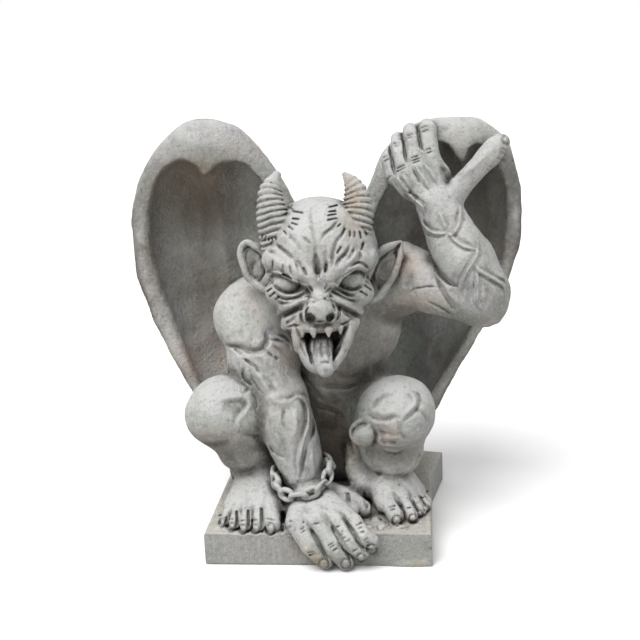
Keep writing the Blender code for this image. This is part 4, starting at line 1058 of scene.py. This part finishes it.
def facing_eye(x, y, z, normal, start=0.08):
    """How squarely a surface faces the eye: 0 up to the start, then a straight run to 1."""
    offset = (x - EYE_PLACE[0], y - EYE_PLACE[1], z - EYE_PLACE[2])
    away = np.sqrt(sum(o * o for o in offset))
    size = np.sqrt(sum(n * n for n in normal)) + 1e-9
    square = -sum(o * n for o, n in zip(offset, normal)) / (away * size)
    return np.clip((square - start) / FACING_RUN, 0.0, 1.0)


def drawn(sheet, x, y, z, normal, fade=0.010):
    """A sheet's depth at points, faded at its box's sides and where the stone turns away."""
    u, v = on_back(x, z) if sheet.back else on_sheet(x, y, z)
    column = np.clip((u - sheet.across[0]) / sheet.step, 0, len(sheet.across) - 1.001)
    row = np.clip((v - sheet.down[0]) / sheet.step, 0, len(sheet.down) - 1.001)
    i, j = column.astype(int), row.astype(int)
    column, row = column - i, row - j
    depth = ((sheet.depth[i, j] * (1 - row) + sheet.depth[i, j + 1] * row) * (1 - column)
             + (sheet.depth[i + 1, j] * (1 - row) + sheet.depth[i + 1, j + 1] * row) * column)
    for place, start, end in zip((x, y, z), sheet.low, sheet.high):
        depth = depth * np.clip(np.minimum(place - start, end - place) / fade, 0.0, 1.0)
    if sheet.back:
        behind = normal[1] / (np.sqrt(sum(n * n for n in normal)) + 1e-9)
        return depth * np.clip(4.0 * behind - 0.4, 0.0, 1.0)
    return depth * facing_eye(x, y, z, normal)


def carve(sheet):
    """Take a sheet's cuts out of the stone that lies in its box."""
    part, places = stone.window(sheet.low, sheet.high, 0.0)
    field = stone.field[part]
    near = np.nonzero(np.abs(field) < CARVE_REACH)
    slopes = np.gradient(field, *[np.ravel(place) for place in places])
    normal = [slope[near] for slope in slopes]
    x, y, z = (np.ravel(place)[index] for place, index in zip(places, near))
    field[near] += drawn(sheet, x, y, z, normal)


def unevenness(planes, pitch, seed):
    """Chance heights on a lattice, eased between by 3t^2 - 2t^3 along each axis in turn."""
    counts = [int(np.ptp(plane) / pitch) + 2 for plane in planes]
    heights = np.random.default_rng(seed).uniform(-1.0, 1.0, counts).astype(np.float32)
    for plane in planes:
        place = (plane - plane[0]) / pitch
        cell = np.minimum(place.astype(int), len(heights) - 2)
        share = (place - cell)[:, None, None]
        share = (share * share * (3 - 2 * share)).astype(np.float32)
        heights = np.moveaxis(heights[cell] * (1 - share) + heights[cell + 1] * share, 0, -1)
    return heights


for sheet in SHEETS:
    carve(sheet)
above = np.clip(stone.planes[2] / 0.02, 0.0, 1.0)
for pitch, rise, seed in ((0.070, 0.0030, 4), (0.034, 0.0018, 5), (0.013, 0.0009, 6)):
    stone.field += unevenness(stone.planes, pitch, seed) * (rise * above)


# The skin
# The finished surface is taken from the field as one closed mesh, thinned where the stone is
# plain, and set at full size with the plinth's underside on the ground.


def skin(block):
    """The stone's surface as points in metres and quads, by the level set's own mesher."""
    grid = openvdb.FloatGrid(FAR)
    grid.copyFromArray(np.clip(block.field, -FAR, FAR), tolerance=1e-6)
    points, quads = grid.convertToQuads(isovalue=0.0)
    places = [np.interp(points[:, axis], np.arange(len(plane)), plane)
              for axis, plane in enumerate(block.planes)]
    return np.column_stack(places) * FIGURE_HEIGHT + (0.0, 0.0, PLINTH_HEIGHT), quads


PIECE_TRIANGLES = 194000

points, quads = skin(stone)
raw = bpy.data.meshes.new("carved_stone")
raw.from_pydata(points, [], quads)
rough = bpy.data.objects.new("rough", raw)
bpy.context.collection.objects.link(rough)
thin = rough.modifiers.new("thin", "DECIMATE")
thin.ratio = PIECE_TRIANGLES / (2 * len(quads))
thin.use_collapse_triangulate = True
mesh = bpy.data.meshes.new_from_object(rough.evaluated_get(bpy.context.evaluated_depsgraph_get()))
bpy.data.objects.remove(rough)
bpy.data.meshes.remove(raw)
places = np.empty(3 * len(mesh.vertices), np.float32)
mesh.vertices.foreach_get("co", places)
places = np.clip(places.reshape(-1, 3), cad_low, cad_high)
mesh.vertices.foreach_set("co", places.ravel())
mesh.name = "carving"
mesh.shade_smooth()
carving = bpy.data.objects.new("carving", mesh)
bpy.context.collection.objects.link(carving)
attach(carving, "root")
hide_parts("gargoyle")


# The stone's colour, and its painted light and shade
# Pale, slightly warm grey stone, fine-grained, with painted shade in the cuts, creases and hollows
# and under things, painted light on the tops and rubbed edges, and stains in pink, green and
# ochre. The plinth's face is bush-hammered.

SKIN_STEP = 3
SKIN_EDGE = 0.014
HOLLOW_REACH = 0.050
SAWN_REACH = 0.0025


def blurred(field, planes, radius):
    """The mean of a field over a box of the given radius, by running sums along each axis."""
    for axis, plane in enumerate(planes):
        width = np.gradient(plane).astype(np.float32)
        shape = [-1 if other == axis else 1 for other in range(3)]
        sums = np.cumsum(field * width.reshape(shape), axis=axis, dtype=np.float32)
        sums = np.concatenate([np.zeros_like(sums.take([0], axis)), sums], axis=axis)
        widths = np.append(0.0, width.cumsum())
        first = np.searchsorted(plane, plane - radius)
        last = np.searchsorted(plane, plane + radius)
        field = sums.take(last, axis) - sums.take(first, axis)
        field = field / (widths[last] - widths[first]).reshape(shape)
    return field.astype(np.float32)


def sampled(field, planes, where):
    """A field at points between its planes, weighted along each axis from plane to plane."""
    cells, shares = [], []
    for plane, place in zip(planes, where.T):
        index = np.clip(np.interp(place, plane, np.arange(len(plane))), 0, len(plane) - 1.001)
        cells.append(index.astype(int))
        shares.append(index - cells[-1])
    total = 0.0
    for corner in np.ndindex(2, 2, 2):
        weight = np.prod([share if far else 1 - share for share, far in zip(shares, corner)], axis=0)
        total = total + weight * field[tuple(cell + far for cell, far in zip(cells, corner))]
    return total


where = (places - (0.0, 0.0, PLINTH_HEIGHT)) / FIGURE_HEIGHT
normals = np.empty(3 * len(mesh.vertices), np.float32)
mesh.vertices.foreach_get("normal", normals)
normals = normals.reshape(-1, 3)
coarse = [plane[::SKIN_STEP] for plane in stone.planes]
# How much stone lies round each point, for painted shade in the broad hollows
filled = np.clip(0.5 - stone.field[::SKIN_STEP, ::SKIN_STEP, ::SKIN_STEP] / SKIN_EDGE, 0.0, 1.0)
hollow_shade = sampled(blurred(filled, coarse, HOLLOW_REACH), coarse, where) - 0.5


def closed_round(reach):
    """One less the room found at a reach out from the surface, over that reach: 0 if flat."""
    room = sampled(stone.field, stone.planes, where + reach * normals)
    return 1.0 - room / abs(reach) * np.sign(reach)


# The depth of the sheets' cuts at each point, for painted shade in the cuts
cut = sum(drawn(sheet, *where.T, normals.T) for sheet in SHEETS)


def spots_of_stain_and_light(*spots):
    """Soft oval spots laid on along the line of sight, each kept between two depths: real stains, and
    painted light and shade.
    """
    u, v = on_sheet(*where.T)
    seen = facing_eye(*where.T, normals.T, -0.40)
    total = np.zeros(len(where))
    for u_at, v_at, radius_u, radius_v, front, back, strength in spots:
        spot = strength * np.exp(-((u - u_at) / radius_u) ** 2 - ((v - v_at) / radius_v) ** 2)
        total = np.maximum(total, spot * seen * ((where[:, 1] > front) & (where[:, 1] < back)))
    return total


marks = {
    # Painted shade in creases and crevices, darker where the surface closes round
    "painted_crevice_shade": np.clip(closed_round(0.005) + 0.8 * closed_round(0.012)
                       + 0.5 * closed_round(0.028) - 0.16, 0.0, 1.0),
    # Lighter on convex edges: rubbed wear with painted highlights
    "rubbed_and_highlit_edges": np.clip(-1.2 * closed_round(-0.008) - 0.12, 0.0, 1.0),
    # Painted shade in broad hollows such as the wings' scoops
    "hollow": np.clip(hollow_shade * 3.2, 0.0, 1.0),
    # Painted shade in the carved cuts
    "cut": np.clip((cut - 0.0010) / 0.0085, 0.0, 1.0),
    "shade": spots_of_stain_and_light((321, 349, 11, 12, -0.325, -0.1, 0.9), (320, 337, 20, 6, -0.296, -0.1, 0.9),
                     (360, 340, 38, 26, -0.15, 0.2, 0.75), (402, 312, 22, 24, -0.02, 0.3, 0.8),
                     (416, 238, 12, 12, 0.0, 0.3, 0.9), (480, 240, 12, 22, -0.1, 0.1, 0.5),
                     (330, 562, 30, 6, -0.45, -0.2, 0.5), (306, 384, 8, 16, -0.1, 0.2, 0.8),
                     (241, 262, 12, 16, -0.05, 0.3, 0.7), (336, 271, 8, 4, -0.3, 0.0, 0.6),
                     (286, 225, 5, 8, -0.2, 0.0, 0.6), (232, 284, 14, 8, 0.02, 0.3, 0.8),
                     (146, 290, 16, 100, -0.1, 0.32, 1.0), (519, 235, 15, 80, -0.1, 0.32, 1.0),
                     (312, 344, 7, 13, -0.268, -0.05, 0.6), (335, 342, 7, 13, -0.262, -0.05, 0.6),
                     (288, 332.6, 5, 4, -0.30, -0.1, 1.0),
                     (498, 302, 13, 22, -0.3, 0.1, 0.55), (475, 318, 18, 7, -0.3, 0.1, 0.45),
                     (207, 450, 24, 17, -0.4, 0.1, 1.0), (222, 465, 18, 18, -0.4, 0.2, 0.8),
                     (396, 455, 22, 9, -0.4, 0.1, 0.6), (262, 425, 10, 24, -0.4, 0.1, 0.6),
                     (290, 362, 14, 22, -0.3, 0.1, 0.8), (345, 345, 24, 22, -0.2, 0.2, 0.6)),
    # Soot with painted shade: in the wings' hollows, the ears, the nostrils, under the chin and between the
    # knees
    "soot_and_shade": spots_of_stain_and_light((251, 268, 4.5, 11, -0.3, 0.1, 0.8), (387, 269, 7, 17, -0.3, 0.1, 0.8),
                    (309.8, 318.8, 3.4, 2.8, -0.335, -0.2, 1.0), (331.2, 317.2, 3.4, 2.8, -0.335, -0.2, 1.0),
                    (196, 200, 46, 46, 0.07, 0.28, 1.0), (200, 290, 34, 60, 0.07, 0.28, 0.55),
                    (226, 330, 22, 50, 0.05, 0.28, 0.55), (478, 215, 28, 70, 0.05, 0.28, 0.75),
                    (440, 225, 26, 60, 0.05, 0.28, 0.9), (440, 360, 40, 50, 0.0, 0.28, 0.15),
                    (470, 180, 40, 30, 0.05, 0.28, 0.8), (332, 430, 24, 56, -0.08, 0.2, 1.0),
                    (335, 385, 34, 18, -0.10, 0.2, 0.75), (300, 365, 10, 14, -0.12, 0.2, 0.6),
                    (224, 462, 34, 18, -0.20, 0.1, 0.35), (392, 452, 34, 12, -0.22, 0.1, 0.3)),
    "blush": spots_of_stain_and_light((194, 362, 15, 26, 0.0, 0.3, 1.0), (150, 300, 8, 50, 0.0, 0.4, 0.8),
                     (222, 360, 12, 34, 0.0, 0.4, 1.0),
                     (168, 352, 8, 26, 0.0, 0.4, 0.6), (200, 150, 60, 10, 0.10, 0.4, 0.55),
                     (406, 262, 18, 16, -0.1, 0.1, 1.0), (256, 300, 16, 14, -0.1, 0.1, 0.8),
                     (424, 300, 24, 10, -0.2, 0.1, 0.8), (330.6, 416, 4, 6, -0.1, 0.1, 1.0),
                     (388, 435, 12, 10, -0.3, 0.0, 0.9), (340, 448, 7, 20, -0.1, 0.1, 0.9),
                     (302, 552, 14, 14, -0.4, -0.2, 0.8), (214, 440, 22, 10, -0.3, 0.0, 0.5),
                     (328, 332, 4, 4, -0.4, -0.2, 0.9), (400, 524, 12, 5, -0.4, 0.0, 0.5),
                     (288, 360, 8, 20, -0.3, 0.0, 0.4), (340, 176, 6, 6, -0.3, 0.1, 0.7)),
    # Pale patches on raised forms and tops: pale stone with painted light
    "pale_and_lit": spots_of_stain_and_light((394, 152, 20, 24, -0.1, 0.14, 1.0), (448, 462, 14, 9, 0.0, 0.34, 1.0),
                     (388, 480, 28, 14, -0.3, 0.1, 1.0), (352, 470, 14, 22, -0.2, 0.2, 1.0),
                     (345, 486, 16, 10, -0.25, 0.1, 1.0), (288, 482, 12, 10, -0.3, 0.1, 0.8),
                     (315, 214, 44, 26, -0.3, 0.1, 1.0), (200, 134, 52, 13, 0.0, 0.34, 1.0),
                     (455, 126, 44, 12, 0.0, 0.34, 1.0), (412, 180, 24, 30, -0.1, 0.12, 1.0),
                     (446, 240, 22, 36, -0.2, 0.1, 0.6), (236, 316, 22, 26, -0.2, 0.1, 0.8),
                     (212, 400, 24, 18, -0.3, 0.1, 0.6), (390, 394, 26, 16, -0.3, 0.1, 0.8),
                     (396, 492, 24, 24, -0.4, 0.1, 1.0), (332, 512, 34, 26, -0.4, 0.0, 0.6),
                     (250, 500, 28, 18, -0.3, 0.1, 0.5), (432, 498, 12, 40, -0.3, 0.3, 0.8)),
    "moss": spots_of_stain_and_light((382, 258, 10, 9, -0.3, 0.1, 0.9), (356, 294, 12, 8, -0.3, 0.0, 0.6),
                    (352, 410, 12, 26, -0.25, 0.1, 0.9), (337, 318, 4, 6, -0.4, 0.0, 0.8),
                    (270, 214, 10, 12, -0.3, 0.1, 0.5), (228, 462, 9, 18, -0.2, 0.2, 0.5),
                    (250, 432, 9, 9, -0.3, 0.1, 0.6), (412, 544, 26, 12, -0.4, -0.2, 0.6),
                    (338, 476, 7, 8, -0.2, 0.2, 0.3), (316, 548, 10, 12, -0.4, -0.2, 0.5),
                    (430, 232, 10, 10, -0.2, 0.1, 0.4), (280, 420, 8, 30, -0.3, 0.0, 0.35),
                    (150, 220, 8, 40, 0.0, 0.3, 0.5), (300, 352, 6, 12, -0.4, -0.2, 0.4)),
    "ochre": spots_of_stain_and_light((353, 204, 12, 27, -0.3, 0.1, 0.8), (350, 456, 8, 20, -0.2, 0.2, 0.9),
                     (318, 562, 9, 9, -0.4, -0.2, 0.8), (418, 564, 7, 4, -0.4, -0.2, 0.7),
                     (196, 178, 30, 18, 0.08, 0.4, 0.5), (284, 352, 10, 8, -0.3, 0.1, 0.4),
                     (300, 342, 4, 14, -0.4, -0.2, 0.4)),
    "sawn": (np.abs(plinth_form()[0](*where.T)) < SAWN_REACH).astype(float)}
for title, values in marks.items():
    layer = mesh.attributes.new(title, "FLOAT", "POINT")
    layer.data.foreach_set("value", values.astype(np.float32))

BUMP_STRENGTH = 0.75
BUMP_DEPTH = 0.0030

# The stone's colour with its stains, and with painted light and shade
stone_and_shading_material = bpy.data.materials.new("stone_with_painted_light")
stone_and_shading_material.use_nodes = True
nodes = stone_and_shading_material.node_tree.nodes
links = stone_and_shading_material.node_tree.links
shader = nodes["Principled BSDF"]
shader.inputs["Specular IOR Level"].default_value = 0.20
coordinates = nodes.new("ShaderNodeTexCoord")


def joined(socket, value):
    """Feed a socket from another, or give it a plain value."""
    if isinstance(value, bpy.types.NodeSocket):
        links.new(value, socket)
    else:
        socket.default_value = value


def noise(scale, detail=4.0, roughness=0.55, stretch=(1.0, 1.0, 1.0)):
    """Cloudy noise on the stone's own coordinates, stretched along its axes."""
    spread = nodes.new("ShaderNodeMapping")
    spread.inputs["Scale"].default_value = stretch
    links.new(coordinates.outputs["Object"], spread.inputs["Vector"])
    cloud = nodes.new("ShaderNodeTexNoise")
    cloud.inputs["Scale"].default_value = scale
    cloud.inputs["Detail"].default_value = detail
    cloud.inputs["Roughness"].default_value = roughness
    links.new(spread.outputs["Vector"], cloud.inputs["Vector"])
    return cloud.outputs["Fac"]


def ramp(value, low, high, start=0.0, end=1.0):
    """Start where the value is at low, end where it is at high, and a straight run between."""
    node = nodes.new("ShaderNodeMapRange")
    for name, number in (("From Min", low), ("From Max", high), ("To Min", start), ("To Max", end)):
        node.inputs[name].default_value = number
    links.new(value, node.inputs["Value"])
    return node.outputs["Result"]


def product(first, second):
    """One value times another, kept between 0 and 1."""
    node = nodes.new("ShaderNodeMath")
    node.operation = "MULTIPLY"
    node.use_clamp = True
    joined(node.inputs[0], first)
    joined(node.inputs[1], second)
    return node.outputs["Value"]


def over(under, colour, share):
    """A colour laid over another by a share."""
    node = nodes.new("ShaderNodeMix")
    node.data_type = "RGBA"
    joined(node.inputs["Factor"], share)
    joined(node.inputs["A"], under)
    joined(node.inputs["B"], colour)
    return node.outputs["Result"]


def mark(title):
    """One of the carving's layers: stains, and painted light and shade."""
    node = nodes.new("ShaderNodeAttribute")
    node.attribute_name = title
    return node.outputs["Fac"]


def marked(title, *cloud):
    """A layer of marks broken up by a noise: the layer times the noise's ramp."""
    return product(mark(title), ramp(*cloud))


broad = noise(5.0, 5.0)
mottle = noise(24.0, 6.0, 0.62)
fleck = noise(95.0, 5.0, 0.7)
grain = noise(330.0, 3.0, 0.7)
runs = noise(14.0, 4.0, 0.6, (1.0, 1.0, 0.22))
tint = noise(9.0, 3.0)

facing = nodes.new("ShaderNodeNewGeometry")
upward = nodes.new("ShaderNodeSeparateXYZ")
links.new(facing.outputs["Normal"], upward.inputs["Vector"])
upward = upward.outputs["Z"]
walls = product(mark("sawn"), product(ramp(upward, 0.7, 0.4), ramp(upward, -0.9, -0.6)))
ledge = product(mark("sawn"), ramp(upward, 0.80, 0.95))

colour = (0.385, 0.388, 0.378, 1.0)
for red, green, blue, share in (
        (0.470, 0.455, 0.415, ramp(broad, 0.42, 0.60)),
        (0.285, 0.272, 0.300, ramp(mottle, 0.50, 0.66, 0.0, 0.70)),
        (0.320, 0.362, 0.312, ramp(tint, 0.48, 0.64, 0.0, 0.60)),
        # Lighter on faces that point up: painted light on the tops
        (0.660, 0.660, 0.655, ramp(upward, 0.20, 0.95, 0.0, 0.85)),
        # Darker on faces that point down: painted shade under things
        (0.205, 0.192, 0.165, ramp(upward, 0.05, -0.80, 0.0, 0.75)),
        (0.590, 0.590, 0.575, ramp(fleck, 0.46, 0.32, 0.0, 0.45)),
        (0.540, 0.420, 0.350, marked("blush", mottle, 0.30, 0.62, 0.15, 0.85)),
        (0.205, 0.262, 0.225, marked("moss", fleck, 0.35, 0.60, 0.25, 0.85)),
        (0.400, 0.275, 0.150, marked("ochre", mottle, 0.32, 0.60, 0.20, 0.90)),
        # Pale patches on raised forms and tops: pale stone with painted light
        (0.640, 0.640, 0.628, marked("pale_and_lit", mottle, 0.66, 0.34, 0.20, 0.85)),
        (0.118, 0.105, 0.090, marked("shade", fleck, 0.30, 0.62, 0.50, 0.85)),
        # Soot with painted shade in hollows and recesses
        (0.112, 0.078, 0.047, marked("soot_and_shade", runs, 0.30, 0.64, 0.60, 0.98)),
        # Painted shade in the broad hollows
        (0.105, 0.092, 0.076, marked("hollow", mottle, 0.36, 0.60, 0.28, 0.66)),
        # Painted shade in the creases and crevices
        (0.062, 0.054, 0.047, marked("painted_crevice_shade", fleck, 0.30, 0.60, 0.65, 1.0)),
        # Painted shade in the carved cuts
        (0.075, 0.068, 0.062, marked("cut", fleck, 0.30, 0.62, 0.25, 0.60)),
        # Lighter on convex edges: rubbed wear with painted highlights
        (0.560, 0.556, 0.530, marked("rubbed_and_highlit_edges", mottle, 0.36, 0.60, 0.20, 0.75)),
        (0.300, 0.298, 0.280, product(walls, 0.70)),
        (0.570, 0.535, 0.460, product(ledge, ramp(mottle, 0.30, 0.62, 0.25, 0.85))),
        (0.175, 0.170, 0.160, ramp(fleck, 0.54, 0.72, 0.0, 0.65)),
        (0.600, 0.595, 0.570, ramp(grain, 0.58, 0.74, 0.0, 0.45)),
        (0.130, 0.125, 0.118, product(ramp(grain, 0.46, 0.32, 0.0, 0.7),
                                      ramp(walls, 0.0, 1.0, 0.45, 1.0)))):
    colour = over(colour, (red, green, blue, 1.0), share)
links.new(colour, shader.inputs["Base Color"])
links.new(ramp(mottle, 0.35, 0.65, 0.80, 0.96), shader.inputs["Roughness"])

relief = nodes.new("ShaderNodeMath")
relief.operation = "MULTIPLY_ADD"
links.new(grain, relief.inputs[0])
links.new(ramp(walls, 0.0, 1.0, 0.35, 1.5), relief.inputs[1])
links.new(ramp(fleck, 0.3, 0.7, 0.0, 2.2), relief.inputs[2])
bump = nodes.new("ShaderNodeBump")
bump.inputs["Strength"].default_value = BUMP_STRENGTH
bump.inputs["Distance"].default_value = BUMP_DEPTH
links.new(relief.outputs["Value"], bump.inputs["Height"])
links.new(bump.outputs["Normal"], shader.inputs["Normal"])
mesh.materials.clear()
mesh.materials.append(stone_and_shading_material)


# The studio
# A plain pale floor, a wide soft light from above and in front, an even pale sky, and a camera
# where the eye of the sheets is.

KEY_STRENGTH = 3.0
KEY_SPREAD = 40
KEY_FROM = (-0.45, -0.85, 1.60)
FLOOR_SHADE = (0.93, 0.93, 0.93, 1.0)
SENSOR_WIDTH = 36.0

floor_mesh = bpy.data.meshes.new("floor")
floor_mesh.from_pydata([(-30, -20, 0), (30, -20, 0), (30, 60, 0), (-30, 60, 0)], [], [(0, 1, 2, 3)])
floor = bpy.data.objects.new("floor", floor_mesh)
bpy.context.collection.objects.link(floor)
paper = bpy.data.materials.new("pale_floor")
paper.use_nodes = True
for name, value in (("Base Color", FLOOR_SHADE), ("Roughness", 0.95), ("Specular IOR Level", 0.1)):
    paper.node_tree.nodes["Principled BSDF"].inputs[name].default_value = value
floor_mesh.materials.append(paper)

world = bpy.data.worlds.new("studio")
world.use_nodes = True
sky = world.node_tree
height = sky.nodes.new("ShaderNodeSeparateXYZ")
fade = sky.nodes.new("ShaderNodeMapRange")
sky.links.new(sky.nodes.new("ShaderNodeTexCoord").outputs["Generated"], height.inputs["Vector"])
sky.links.new(height.outputs["Z"], fade.inputs["Value"])
for name, number in (("From Min", 0.06), ("From Max", 0.20), ("To Min", 1.0), ("To Max", 0.60)):
    fade.inputs[name].default_value = number
sky.links.new(fade.outputs["Result"], sky.nodes["Background"].inputs["Strength"])
sky.nodes["Background"].inputs["Color"].default_value = (1.0, 1.0, 1.0, 1.0)
bpy.context.scene.world = world
bpy.context.scene.view_settings.view_transform = "Standard"

key = bpy.data.lights.new("key", "SUN")
key.energy = KEY_STRENGTH
key.angle = np.radians(KEY_SPREAD)
lamp = bpy.data.objects.new("key", key)
lamp.rotation_euler = Vector(KEY_FROM).to_track_quat("Z", "Y").to_euler()
bpy.context.collection.objects.link(lamp)

camera = bpy.data.cameras.new("camera")
camera.sensor_width = SENSOR_WIDTH
camera.lens = SHEET_FOCUS / SHEET_SIZE * camera.sensor_width
camera.clip_start = 0.05
viewer = bpy.data.objects.new("camera", camera)
right, up, ahead = eye_axes()
rows = [(*row, place) for row, place in zip(zip(right, up, -ahead), EYE)]
viewer.matrix_world = Matrix(rows + [(0, 0, 0, 1)])
bpy.context.collection.objects.link(viewer)
bpy.context.scene.camera = viewer
